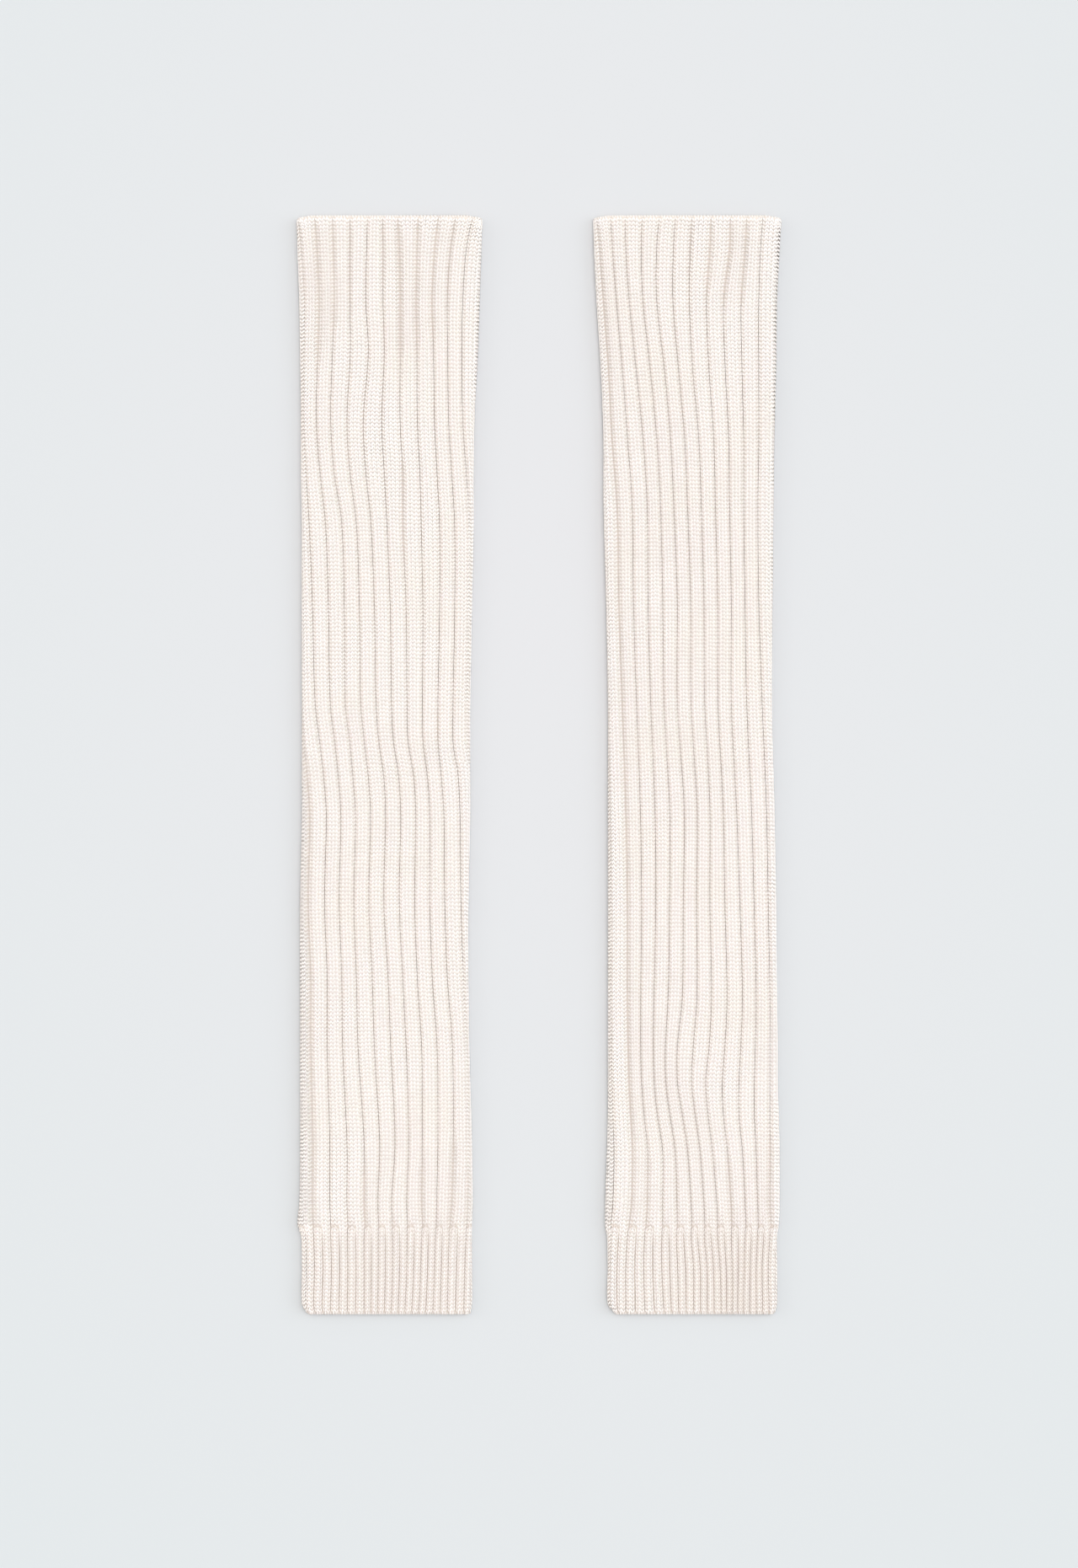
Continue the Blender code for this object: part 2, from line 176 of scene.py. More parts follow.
# %% Open valleys and soft swells, in millimetres
Opening = namedtuple("Opening", "valley starts ends width")
Swell = namedtuple("Swell", "down across half_length half_width rise")
LEFT_OPENINGS = (
    Opening(0, 3, 46, 2.2),
    Opening(1, 3, 84, 3.0),
    Opening(2, 3, 66, 2.6),
    Opening(3, 3, 50, 1.7),
    Opening(5, 3, 40, 1.8),
    Opening(6, 3, 84, 3.0),
    Opening(7, 3, 76, 2.8),
    Opening(8, 3, 70, 2.6),
    Opening(9, 3, 50, 2.0),
    Opening(6, 148, 200, 2.2),
    Opening(8, 292, 304, 1.8),
    Opening(-1, 316, 587, 2.4),
    Opening(2, 556, 587, 2.4),
    Opening(6, 556, 587, 2.6),
    Opening(8, 540, 587, 2.8),
    Opening(9, 560, 587, 2.2),
)
RIGHT_OPENINGS = (
    Opening(0, 3, 587, 2.4),
    Opening(6, 3, 30, 1.6),
    Opening(7, 3, 44, 2.6),
    Opening(8, 3, 50, 2.8),
    Opening(9, 3, 50, 2.8),
    Opening(1, 552, 587, 2.2),
    Opening(3, 560, 587, 1.6),
    Opening(7, 552, 587, 2.4),
    Opening(10, 540, 587, 2.2),
)
LEFT_SWELLS = (
    Swell(60, -22, 70, 26, 0.8),
    Swell(312, 27, 18, 16, 1.1),
    Swell(465, -30, 40, 20, 0.9),
)
RIGHT_SWELLS = (
    Swell(45, 26, 60, 24, 0.8),
    Swell(250, -20, 80, 22, 0.6),
    Swell(508, -2, 34, 30, 1.2),
)
print(len(LEFT_OPENINGS) + len(RIGHT_OPENINGS), "open valleys")

# %% [markdown]
# Now the cloth's surface as arithmetic. A tube that lies flat has a long oval outline: flat below, flat
# above and round at its two folds. A place on it is a length of cloth from the left fold over the front.
# The functions take whole arrays, so that thousands of stitches are worked out in one go.
#
# Three small curves come first. One eases a change in and out, so that it has no edge. One lets the corners
# of the wide opening fall a little. One gives a rib its round back, level on top and steep at its sides.

# %% Three small curves
def smooth_step(value):
    value = np.clip(value, 0.0, 1.0)
    return value * value * (3.0 - 2.0 * value)


def corner_dip(down, from_side):
    """The wide opening's edge falls in a straight line to each corner, in millimetres."""
    near_top = 1.0 - smooth_step(down / WELT_DEPTH)
    return CORNER_DIP * np.clip(1.0 - from_side / CORNER_WIDTH, 0.0, 1.0) * near_top


def sunk(across, roundness):
    """How far a rib has fallen at a share of its width: nothing on its crown, 1 at its two sides."""
    side = np.clip(np.abs(2.0 * across - 1.0), 0.0, 1.0)
    return 1.0 - (1.0 - side**roundness) ** (1.0 / roundness)


WIDE_RIB_ROUNDNESS = 3.8
NARROW_RIB_ROUNDNESS = 2.6
print("a tenth of the way over, a wide rib is sunk by", round(float(sunk(0.1, WIDE_RIB_ROUNDNESS)), 3))
print("and a narrow rib by", round(float(sunk(0.1, NARROW_RIB_ROUNDNESS)), 3))

# %% [markdown]
# A leg warmer is then one object that answers questions: where the sides and valleys are at a distance down,
# how wide a valley stands open, how far the cloth is sunk, and at last the point in space for any rib number.
# All its measures are in millimetres, and only that last answer is turned into metres, as Blender wants it.

# %% Where the cloth lies
VALLEYS = np.array([0.0, 2.0, 4.0, 6.0, 8.0, 10.0, RIBS_AROUND])
CLOSED_VALLEY = 0.65
VALLEY_DEPTH = 1.28
OPEN_SHARE = 0.8
CUFF_VALLEY = 0.65
ARCH_DEPTH = 3.0
UNDER_FULLNESS = 0.45
OPENS_EARLY = 8.0
OPENS_OVER = 12.0
CLOSES_OVER = 16.0
HELD_BY_WELT = 1.0
FREED_OVER = 9.0
ARCH_TOP = 0.5
ARCH_GROWS_OVER = 1.6
ARCH_GROOVE = 1.1
SPLIT_STARTS = 2.0
SPLIT_GROWS_OVER = 7.0
GROOVE_DEPTH = 0.9
GROOVE_WIDTH = 0.75
RIB_START = 0.001
RIB_END = 0.999
Outline = namedtuple("Outline", "left right once_round front valleys")


class Tube:
    """One leg warmer's cloth. Ribs are numbered round the tube and down is from the wide opening."""

    def __init__(self, side, centre, sections, openings, swells):
        self.side, self.centre = side, centre
        self.openings, self.swells = openings, swells
        self.table = np.array(sections, dtype=float)
        rows = self.table
        before = rows[np.maximum(np.arange(len(rows)) - 1, 0)]
        after = rows[np.minimum(np.arange(len(rows)) + 1, len(rows) - 1)]
        self.slopes = (after - before) / (after[:, :1] - before[:, :1])

    def outline(self, down):
        """The section at each distance down: its two sides, its lengths of cloth and its valleys."""
        rows = self.table
        i = np.clip(np.searchsorted(rows[:, 0], down, side="right") - 1, 0, len(rows) - 2)
        span = (rows[i + 1, 0] - rows[i, 0])[:, None]
        t = np.clip((down - rows[i, 0])[:, None] / span, 0.0, 1.0)
        between = rows[i] * (2 * t**3 - 3 * t**2 + 1) + rows[i + 1] * (3 * t**2 - 2 * t**3)
        leave = self.slopes[i] * span * (t**3 - 2 * t**2 + t)
        arrive = self.slopes[i + 1] * span * (t**3 - t**2)
        columns = between + leave + arrive
        left, right = columns[:, 1], columns[:, -1]
        flat = right - left - 2 * RADIUS
        front = flat + 2 * QUARTER
        from_left = columns[:, 2:-1] - left[:, None]
        from_right = right[:, None] - columns[:, 2:-1]
        near_left = RADIUS * np.arccos(1.0 - np.clip(from_left, 0.0, RADIUS) / RADIUS)
        near_right = RADIUS * np.arccos(1.0 - np.clip(from_right, 0.0, RADIUS) / RADIUS)
        valleys = QUARTER + from_left - RADIUS
        valleys = np.where(from_left < RADIUS, near_left + np.minimum(from_left, 0.0), valleys)
        over = front[:, None] - near_right - np.minimum(from_right, 0.0)
        valleys = np.where(from_right < RADIUS, over, valleys)
        valleys = np.column_stack([valleys, valleys[:, 0] + 2 * front])
        return Outline(left, right, 2 * front, front, valleys)

    def place(self, rib, outline):
        """How far round the cloth a rib number lies, from the left fold over the front."""
        turns = np.floor(rib / RIBS_AROUND)
        rib = rib - turns * RIBS_AROUND
        i = np.clip(np.searchsorted(VALLEYS, rib, side="right") - 1, 0, len(VALLEYS) - 2)
        share = (rib - VALLEYS[i]) / (VALLEYS[i + 1] - VALLEYS[i])
        rows = np.arange(len(rib))
        start, end = outline.valleys[rows, i], outline.valleys[rows, i + 1]
        return start + share * (end - start) + turns * outline.once_round

    def pitch(self, rib, outline):
        """The width of a rib with its valley."""
        low = np.floor(rib)
        return self.place(low + RIB_END, outline) - self.place(low + RIB_START, outline)

    def valley_width(self, valley, down):
        """How wide a valley stands open."""
        width = np.full(len(down), CLOSED_VALLEY)
        for opening in self.openings:
            here = np.mod(valley - opening.valley, RIBS_AROUND) == 0
            opens = smooth_step((down - opening.starts + OPENS_EARLY) / OPENS_OVER)
            closes = smooth_step((opening.ends + OPENS_EARLY - down) / CLOSES_OVER)
            below_welt = smooth_step((down - HELD_BY_WELT) / FREED_OVER)
            wider = opening.width * OPEN_SHARE - CLOSED_VALLEY
            width = width + here * wider * opens * closes * below_welt
        return width

    def swell(self, down, across):
        """How far the front panel stands up off the plain height."""
        total = np.zeros(len(down))
        for swell in self.swells:
            along = (down - swell.down) / swell.half_length
            beside = (across - swell.across) / swell.half_width
            total += swell.rise * smooth_step(1.0 - np.hypot(along, beside))
        return total

    def arch(self, along, pitch):
        """Where a narrow rib of the cuff starts: a small round arch right of each valley."""
        half = pitch / 2
        beside = np.clip((along - half / 2) / (half / 2), -1.0, 1.0)
        return CUFF_STARTS + ARCH_TOP + ARCH_DEPTH * (1.0 - np.sqrt(1.0 - beside**2))

    def beside_arch(self, rib, down, outline):
        """1 in the groove that goes round the head of an arch, nothing away from it."""
        pitch = self.pitch(rib, outline)
        along = (rib - np.floor(rib)) * pitch
        return np.exp(-(((down - self.arch(along, pitch)) / ARCH_GROOVE) ** 2)) * (along < pitch / 2)

    def relief(self, rib, down, outline):
        """How far below the highest crowns the cloth lies, for ribs that are not pressed flat."""
        low = np.floor(rib)
        pitch = self.pitch(rib, outline)
        along = (rib - low) * pitch
        before = self.valley_width(low, down) / 2
        after = self.valley_width(low + 1, down) / 2
        wide = sunk((along - before) / (pitch - before - after), WIDE_RIB_ROUNDNESS)
        share = WELT_RIB_SHARE + (1.0 - WELT_RIB_SHARE) * smooth_step(down / WELT_DEPTH)
        leg = VALLEY_DEPTH * share * wide
        half = pitch / 2
        narrow = sunk((np.mod(along, half) - CUFF_VALLEY / 2) / (half - CUFF_VALLEY), NARROW_RIB_ROUNDNESS)
        cuff = RIB_RISE - CUFF_RIB_RISE + CUFF_RIB_RISE * narrow
        in_arch = along < half
        starts = np.where(in_arch, self.arch(along, pitch), CUFF_STARTS + SPLIT_STARTS)
        grown = smooth_step((down - starts) / np.where(in_arch, ARCH_GROWS_OVER, SPLIT_GROWS_OVER))
        groove = GROOVE_DEPTH * np.exp(-(((down - starts) / GROOVE_WIDTH) ** 2)) * in_arch
        return np.maximum(leg * (1.0 - grown) + cuff * grown, groove)

    def surface(self, rib, down, inset=0.0, drop=0.0):
        """Points of the cloth in metres, and which way it faces, inset below its outer side."""
        outline = self.outline(down)
        place = np.mod(self.place(rib, outline), outline.once_round)
        upper = place < outline.front
        along = np.where(upper, place, outline.once_round - place)
        at_left, at_right = along < QUARTER, along > outline.front - QUARTER
        turn = np.where(at_left, along, outline.front - along) / RADIUS
        turn = np.where(at_left | at_right, turn, math.pi / 2)
        facing_x = np.where(at_left, -np.cos(turn), np.where(at_right, np.cos(turn), 0.0))
        facing_z = np.where(upper, np.sin(turn), -np.sin(turn))
        middle = np.where(at_left, outline.left + RADIUS, outline.right - RADIUS)
        middle = np.where(at_left | at_right, middle, outline.left + RADIUS + along - QUARTER)
        fuller = np.where(upper, 1.0, UNDER_FULLNESS)
        x = middle + np.sign(facing_x) * np.abs(facing_x) ** fuller * RADIUS
        z = RADIUS + facing_z * RADIUS
        shown = smooth_step((z / HEIGHT - RELIEF_STARTS) / (1.0 - RELIEF_STARTS))
        inward = (self.relief(rib, down, outline) + drop) * shown + inset
        x = x - facing_x * inward
        z = z - facing_z * inward
        z = z + self.swell(down, x) * shown
        from_side = np.minimum(x - outline.left, outline.right - x)
        y = LENGTH / 2 - down - corner_dip(down, from_side)
        points = np.column_stack([x + self.centre, y, z]) * MM
        facing = np.column_stack([facing_x, np.zeros(len(x)), facing_z])
        return points, facing


PAIR = (
    Tube("left", -HALF_APART, LEFT_SECTIONS, LEFT_OPENINGS, LEFT_SWELLS),
    Tube("right", HALF_APART, RIGHT_SECTIONS, RIGHT_OPENINGS, RIGHT_SWELLS),
)
for tube in PAIR:
    ends = tube.outline(np.array([0.0, LENGTH / 2, LENGTH]))
    print(tube.side, "cloth round the tube, top, middle and cuff:", np.round(ends.once_round, 1), "mm")

# %% [markdown]
# Materials, the yarn and the light are all made of nodes. A few helpers keep their trees short to write: one
# adds a node, one adds a socket to a group, and three add the kinds of sum that come up again and again.

# %% Helpers for node trees
def add_node(tree, kind, **settings):
    node = tree.nodes.new(kind)
    for key, value in settings.items():
        setattr(node, key, value)
    return node


def add_socket(group, name, direction, kind, default=None):
    socket = group.interface.new_socket(name, in_out=direction, socket_type=kind)
    if default is not None:
        socket.default_value = default
    return socket


def maths(tree, operation, *operands, **settings):
    """What a Math node gives. Each operand is a number or another node's output."""
    node = add_node(tree, "ShaderNodeMath", operation=operation, **settings)
    for socket, operand in zip(node.inputs, operands):
        if isinstance(operand, float):
            socket.default_value = operand
        else:
            tree.links.new(operand, socket)
    return node.outputs[0]


def vector_maths(tree, operation, first, second):
    """What a Vector Math node gives. second is a plain vector or another node's output."""
    node = add_node(tree, "ShaderNodeVectorMath", operation=operation)
    tree.links.new(first, node.inputs[0])
    socket = node.inputs["Scale" if operation == "SCALE" else 1]
    if isinstance(second, tuple):
        socket.default_value = second
    else:
        tree.links.new(second, socket)
    return node.outputs["Value" if operation == "DOT_PRODUCT" else "Vector"]


def map_range(tree, value, **limits):
    """What a Map Range node gives. limits have its sockets' names, such as from_max."""
    node = add_node(tree, "ShaderNodeMapRange")
    for name, limit in limits.items():
        node.inputs[name.replace("_", " ").title()].default_value = limit
    tree.links.new(value, node.inputs["Value"])
    return node.outputs["Result"]


NODE_HELPERS = (add_node, add_socket, maths, vector_maths, map_range)
print("helpers:", ", ".join(helper.__name__ for helper in NODE_HELPERS))

# %% [markdown]
# Undyed wool is a warm white that is never even: some lengths of yarn are a touch pinker or yellower. One
# shader group gives that colour to every piece. Noise on Object coordinates sets the patches. Three numbers
# that the mesh carries set the rest: how much painted shade the cloth gets there, how much of the yarn shows,
# and how light this yarn is. The painted shade is a warm brown mixed into the wool. It stands in for the
# shade between the stitches, on their tucked tails and in the valleys, where light comes back warmer.

# %% Shader group: the colour of the wool, with its painted shade
FULLY_SHOWN = 0.8
# Extra painted shade on tucked tails where the cloth already has painted shade.
GAP_SHADE_FROM_SHADE = 1.2
DARKEST_YARN = 0.955


def wool_and_shade_group():
    # The group gives the wool colour with painted shade mixed in.
    group = bpy.data.node_groups.new("wool colour", "ShaderNodeTree")
    add_socket(group, "Wool", "INPUT", "NodeSocketColor", (0.94, 0.90, 0.86, 1.0))
    add_socket(group, "Warm patches", "INPUT", "NodeSocketColor", (0.96, 0.915, 0.872, 1.0))
    add_socket(group, "Pink patches", "INPUT", "NodeSocketColor", (0.965, 0.91, 0.908, 1.0))
    # The warm brown of the painted shade.
    add_socket(group, "Painted shade", "INPUT", "NodeSocketColor", (0.74, 0.66, 0.60, 1.0))
    add_socket(group, "Patchiness", "INPUT", "NodeSocketFloat", 0.85)
    add_socket(group, "Gaps", "INPUT", "NodeSocketFloat", 0.8)
    add_socket(group, "Colour", "OUTPUT", "NodeSocketColor")
    link = group.links.new
    given = add_node(group, "NodeGroupInput")
    out = add_node(group, "NodeGroupOutput")
    where = add_node(group, "ShaderNodeTexCoord")

    def patches(scale, low, high, seed):
        noise = add_node(group, "ShaderNodeTexNoise", noise_dimensions="4D")
        noise.inputs["Scale"].default_value = scale
        noise.inputs["Detail"].default_value = 3.0
        noise.inputs["W"].default_value = seed
        link(where.outputs["Object"], noise.inputs["Vector"])
        spread = map_range(group, noise.outputs["Fac"], from_min=low, from_max=high)
        return maths(group, "MULTIPLY", spread, given.outputs["Patchiness"])

    def carried(name):
        return add_node(group, "ShaderNodeAttribute", attribute_name=name).outputs["Fac"]

    def mix(share, first, second):
        node = add_node(group, "ShaderNodeMix", data_type="RGBA")
        link(share, node.inputs["Factor"])
        link(first, node.inputs["A"])
        link(second, node.inputs["B"])
        return node.outputs["Result"]

    warm_here = patches(scale=22.0, low=0.45, high=0.70, seed=1.0)
    warm = mix(warm_here, given.outputs["Wool"], given.outputs["Warm patches"])
    pink_here = patches(scale=35.0, low=0.50, high=0.72, seed=7.0)
    pink = mix(pink_here, warm, given.outputs["Pink patches"])
    # Painted shade: the warm brown goes in where the mesh carries painted shade, most on tucked tails and low
    # sides.
    painted_shade = carried("painted_shade")
    tucked = map_range(group, carried("shown"), from_max=FULLY_SHOWN, to_min=1.0, to_max=0.0)
    gaps = maths(group, "MULTIPLY_ADD", painted_shade, GAP_SHADE_FROM_SHADE, given.outputs["Gaps"])
    depth = maths(group, "MULTIPLY_ADD", tucked, gaps, painted_shade, use_clamp=True)
    deep = mix(depth, pink, given.outputs["Painted shade"])
    brightness = map_range(group, carried("tint"), from_min=-1.0, to_min=DARKEST_YARN, to_max=1.0)
    link(vector_maths(group, "SCALE", deep, brightness), out.inputs["Colour"])
    return group


wool_and_shade = wool_and_shade_group()
print("group:", wool_and_shade.name)

# %% [markdown]
# Knitting wool is plied: thin strands are twisted round each other, so fine slanting grooves run along the
# yarn, with loose fibres over them. The second group draws both as a height, on the map that each loop of
# yarn carries. The cloth under the loops has the same group on its own map, turned into small stitches.

# %% Shader group: twisted strands and fibres
FIBRE_STRETCH = (9.0, 2.5, 1.0)
FIBRE_TURN = (0.0, 0.0, 0.7)
SMOOTHEST_WOOL = 0.82
ROUGHEST_WOOL = 0.98


def yarn_twist_group():
    group = bpy.data.node_groups.new("yarn twist", "ShaderNodeTree")
    add_socket(group, "Map", "INPUT", "NodeSocketVector")
    add_socket(group, "Strands", "INPUT", "NodeSocketFloat", 3.0)
    add_socket(group, "Slant", "INPUT", "NodeSocketFloat", 0.9)
    add_socket(group, "Fibres", "INPUT", "NodeSocketFloat", 0.35)
    add_socket(group, "Height", "OUTPUT", "NodeSocketFloat")
    add_socket(group, "Roughness", "OUTPUT", "NodeSocketFloat")
    link = group.links.new
    given = add_node(group, "NodeGroupInput")
    out = add_node(group, "NodeGroupOutput")
    parts = add_node(group, "ShaderNodeSeparateXYZ")
    link(given.outputs["Map"], parts.inputs[0])
    slanted = maths(group, "MULTIPLY", parts.outputs["X"], given.outputs["Slant"])
    along_yarn = maths(group, "ADD", parts.outputs["Y"], slanted)
    run = maths(group, "MULTIPLY", along_yarn, given.outputs["Strands"])
    ridge = maths(group, "PINGPONG", run, 0.5)
    strands = maths(group, "POWER", maths(group, "MULTIPLY", ridge, 2.0), 0.5)
    fibre = add_node(group, "ShaderNodeTexNoise")
    fibre.inputs["Scale"].default_value = 1.0
    fibre.inputs["Detail"].default_value = 2.0
    stretched = add_node(group, "ShaderNodeMapping")
    stretched.inputs["Scale"].default_value = FIBRE_STRETCH
    stretched.inputs["Rotation"].default_value = FIBRE_TURN
    link(given.outputs["Map"], stretched.inputs["Vector"])
    link(stretched.outputs["Vector"], fibre.inputs["Vector"])
    fibres = maths(group, "MULTIPLY", fibre.outputs["Fac"], given.outputs["Fibres"])
    link(maths(group, "ADD", strands, fibres), out.inputs["Height"])
    rough = map_range(group, fibre.outputs["Fac"], to_min=SMOOTHEST_WOOL, to_max=ROUGHEST_WOOL)
    link(rough, out.inputs["Roughness"])
    return group


yarn_twist = yarn_twist_group()
print("group:", yarn_twist.name)

# %% [markdown]
# Each piece gets a material with these two groups and its own colours. Wool has a soft sheen, because light
# catches the fibres that stand off it. That is a plain number on the shader's own socket, as is the rest
# that never changes over the surface.

# %% Materials for loops and for the cloth under them
WOOL_FINISH = {"Sheen Weight": 0.25, "Sheen Roughness": 0.55, "Specular IOR Level": 0.25}
BUMP_STRENGTH = 0.6
LOOP_BUMP = 0.00004
CLOTH_BUMP = 0.00008
PLIED_STRANDS = 3.0
STITCH_STRANDS = 1.0
Yarn = namedtuple("Yarn", "wool gaps")
# Each yarn: its wool colour, and how much painted shade its tucked tails get between the stitches.
YARNS = {
    "leg": Yarn((0.968, 0.934, 0.918), 0.68),
    "cuff": Yarn((0.968, 0.932, 0.915), 0.58),
    "top_welt": Yarn((0.968, 0.934, 0.920), 0.68),
}


def wool_material(name, yarn, map_name, strands, bump_height):
    material = bpy.data.materials.new(name)
    material.use_nodes = True
    tree = material.node_tree
    shader = tree.nodes["Principled BSDF"]
    for socket, value in WOOL_FINISH.items():
        shader.inputs[socket].default_value = value
    colour = add_node(tree, "ShaderNodeGroup", node_tree=wool_and_shade)
    colour.inputs["Wool"].default_value = (*yarn.wool, 1.0)
    colour.inputs["Gaps"].default_value = yarn.gaps
    twist = add_node(tree, "ShaderNodeGroup", node_tree=yarn_twist)
    twist.inputs["Strands"].default_value = strands
    own_map = add_node(tree, "ShaderNodeUVMap", uv_map=map_name)
    bump = add_node(tree, "ShaderNodeBump")
    bump.inputs["Strength"].default_value = BUMP_STRENGTH
    bump.inputs["Distance"].default_value = bump_height
    link = tree.links.new
    link(own_map.outputs["UV"], twist.inputs["Map"])
    link(twist.outputs["Height"], bump.inputs["Height"])
    link(twist.outputs["Roughness"], shader.inputs["Roughness"])
    link(bump.outputs["Normal"], shader.inputs["Normal"])
    link(colour.outputs["Colour"], shader.inputs["Base Color"])
    material.diffuse_color = (*yarn.wool, 1.0)
    return material


loop_material = {}
cloth_material = {}
for part, yarn in YARNS.items():
    loop_material[part] = wool_material(f"{part} yarn", yarn, "yarn", PLIED_STRANDS, LOOP_BUMP)
    cloth_material[part] = wool_material(f"{part} cloth", yarn, "cloth", STITCH_STRANDS, CLOTH_BUMP)
print(len(loop_material) + len(cloth_material), "materials")

# %% [markdown]
# The cloth under the stitches is a thin closed wall all round an open slit, as the real tube is. Its outer
# side has the ribs, its inner side is plain. Rings of points down the tube and columns of points round it
# make a grid, which is the simplest mesh for a shape that follows a rule. Two maps go with it: one lays the
# cloth out flat, and the other counts wales and courses for the shader.

# %% The cloth under the stitches
YARN_HEIGHT = 0.38
CLOTH_INSET = 0.42
CUT_END_ANGLE = math.radians(80.0)
FRONT_COLUMNS = (0.0, 0.05, 0.12, 0.28, 0.5, 0.72, 0.88, 0.95)
CUFF_COLUMNS = (0.0, 0.06, 0.16, 0.25, 0.34, 0.44, 0.5, 0.56, 0.66, 0.75, 0.84, 0.94)
BACK_COLUMNS = (0.0, 0.35, 0.65)
FOLD_RIBS = 3
SLIT_OPENS = 6.0
# Painted shade on the cloth under the stitches: a little all over, more the deeper its valley.
CLOTH_SHADE = 0.1
SHADE_BY_DEPTH = 0.42
EDGE_STRIP = 0.02
PANEL_SHARE = 0.96


def column_ribs(columns):
    """Rib numbers of the columns of points: close together where they show, few on the underside."""
    ribs = []
    first = FRONT_RIBS[0] - FOLD_RIBS
    for rib in range(first, first + RIBS_AROUND):
        shares = columns if rib <= FRONT_RIBS[1] else BACK_COLUMNS
        ribs += [rib + share for share in shares]
    return np.array(ribs)


def inner_points(tube, outline, down, turn, slit):
    """The inner side of the wall: the edge of the slit between the two panels."""
    upper = turn < 0.5
    share = np.where(upper, turn, 1.0 - turn) * 2.0
    width = outline.right - outline.left - 2 * WALL
    across = outline.left + WALL + width * share
    opened = np.clip(np.sin(np.pi * share) * SLIT_OPENS, 0.0, 1.0)
    z = WALL + SLIT / 2 + np.where(upper, slit - SLIT / 2, -SLIT / 2) * opened
    z = z + np.where(upper, tube.swell(down, across) * opened, 0.0)
    from_side = np.minimum(across - outline.left, outline.right - across)
    y = LENGTH / 2 - down - corner_dip(down, from_side)
    return np.column_stack([across + tube.centre, y, z]) * MM


def new_piece(name, mesh, material=None):
    """An object at the origin, unturned and unscaled, so that its place is all in its mesh."""
    piece = bpy.data.objects.new(name, mesh)
    bpy.context.collection.objects.link(piece)
    if material:
        mesh.materials.append(material)
    return piece


def cloth_shell(name, tube, rings, columns, material):
    """A closed wall round the slit. Each ring has its distance down, its drop inwards and its slit."""
    ribs = column_ribs(columns)
    count = len(ribs)
    levels = len(rings)
    grid, painted_shades = [], []
    for down, drop, slit in rings:
        downs = np.full(count, down)
        outline = tube.outline(downs)
        turn = np.mod(tube.place(ribs, outline) / outline.once_round, 1.0)
        outer, _ = tube.surface(ribs, downs, CLOTH_INSET, drop)
        depth = tube.relief(ribs, downs, outline) / RIB_RISE
        # Painted shade: the outer side darker the deeper the cloth is sunk, the inner side a little darker
        # throughout.
        painted_shades.append(np.stack([CLOTH_SHADE + SHADE_BY_DEPTH * depth, np.full(count, CLOTH_SHADE)]))
        grid.append(np.stack([outer, inner_points(tube, outline, downs, turn, slit)]))
    points = np.array(grid).transpose(1, 0, 2, 3)

    def corner(layer, ring, column):
        return (layer * levels + ring) * count + column % count

    faces, flat_map, stitch_map = [], [], []
    for layer in range(2):
        for ring in range(levels - 1):
            for column in range(count):
                quad = [(ring + 1, column), (ring + 1, column + 1), (ring, column + 1), (ring, column)]
                if layer:
                    quad.reverse()
                faces.append([corner(layer, r, c) for r, c in quad])
                for r, c in quad:
                    share_down = EDGE_STRIP + PANEL_SHARE * r / (levels - 1)
                    flat_map.append(((layer + c / count) / 2, share_down))
                    stitch_map.append((c * WALES_AROUND / count, rings[r][0] / COURSE))
    for ring, strip in ((0, 0.0), (levels - 1, 1.0 - EDGE_STRIP)):
        for column in range(count):
            quad = [(0, column), (1, column), (1, column + 1), (0, column + 1)]
            if ring == 0:
                quad.reverse()
            faces.append([corner(layer, ring, c) for layer, c in quad])
            flat_map += [(c / count, strip + EDGE_STRIP * layer) for layer, c in quad]
            stitch_map += [(c * WALES_AROUND / count, layer) for layer, c in quad]
    mesh = bpy.data.meshes.new(name)
    mesh.from_pydata(points.reshape(-1, 3), [], faces)
    for map_name, values in (("OFBake", flat_map), ("cloth", stitch_map)):
        own_map = mesh.uv_layers.new(name=map_name)
        own_map.uv.foreach_set("vector", np.array(values, dtype=np.float32).ravel())
    painted_shade = mesh.attributes.new("painted_shade", "FLOAT", "POINT")
    shade_amounts = np.array(painted_shades).transpose(1, 0, 2)
    painted_shade.data.foreach_set("value", shade_amounts.astype(np.float32).ravel())
    mesh.shade_smooth()
    mesh.set_sharp_from_angle(angle=CUT_END_ANGLE)
    mesh.update()
    return new_piece(name, mesh, material)


print("points round the leg:", len(column_ribs(FRONT_COLUMNS)))
print("points round the cuff:", len(column_ribs(CUFF_COLUMNS)))

# %% [markdown]
# A ring of points is needed only where the cloth changes. Down the leg one for every three courses will do.
# Round the arches, where the cuff starts, and over the rounded lips of the two openings they lie closer.

# %% Rings down each part
RING_STEP = 7.0
LIP = ((0.0, 0.9), (0.5, 0.35), (1.3, 0.0))
WELT_STEPS = (3.5, 5.5, WELT_DEPTH)
ARCH_STEPS = (0.0, 0.6, 1.2, 1.9, 2.7, 3.6, 5.0, 7.5)
BELOW_ARCHES = 12.0
ABOVE_LIP = 6.0


def ring_downs(starts, ends):
    steps = max(round((ends - starts) / RING_STEP), 2)
    return np.linspace(starts, ends, steps + 1)


def plain_rings(downs):
    return [(down, 0.0, SLIT) for down in downs]


leg_rings = plain_rings(ring_downs(WELT_DEPTH, CUFF_STARTS))
welt_rings = [(down, drop, MOUTH_SLIT) for down, drop in LIP] + plain_rings(WELT_STEPS)
cuff_rings = plain_rings(CUFF_STARTS + step for step in ARCH_STEPS)
cuff_rings += plain_rings(ring_downs(CUFF_STARTS + BELOW_ARCHES, LENGTH - ABOVE_LIP))
cuff_rings += [(LENGTH - down, drop, MOUTH_SLIT) for down, drop in reversed(LIP)]

cloths = {}
for tube in PAIR:
    for part, rings, columns in (
        ("leg", leg_rings, FRONT_COLUMNS),
        ("top_welt", welt_rings, FRONT_COLUMNS),
        ("cuff", cuff_rings, CUFF_COLUMNS),
    ):
        shell = cloth_shell(f"{tube.side}_{part}_cloth", tube, rings, columns, cloth_material[part])
        cloths[tube.side, part] = shell
        print(shell.name, len(shell.data.polygons), "faces")
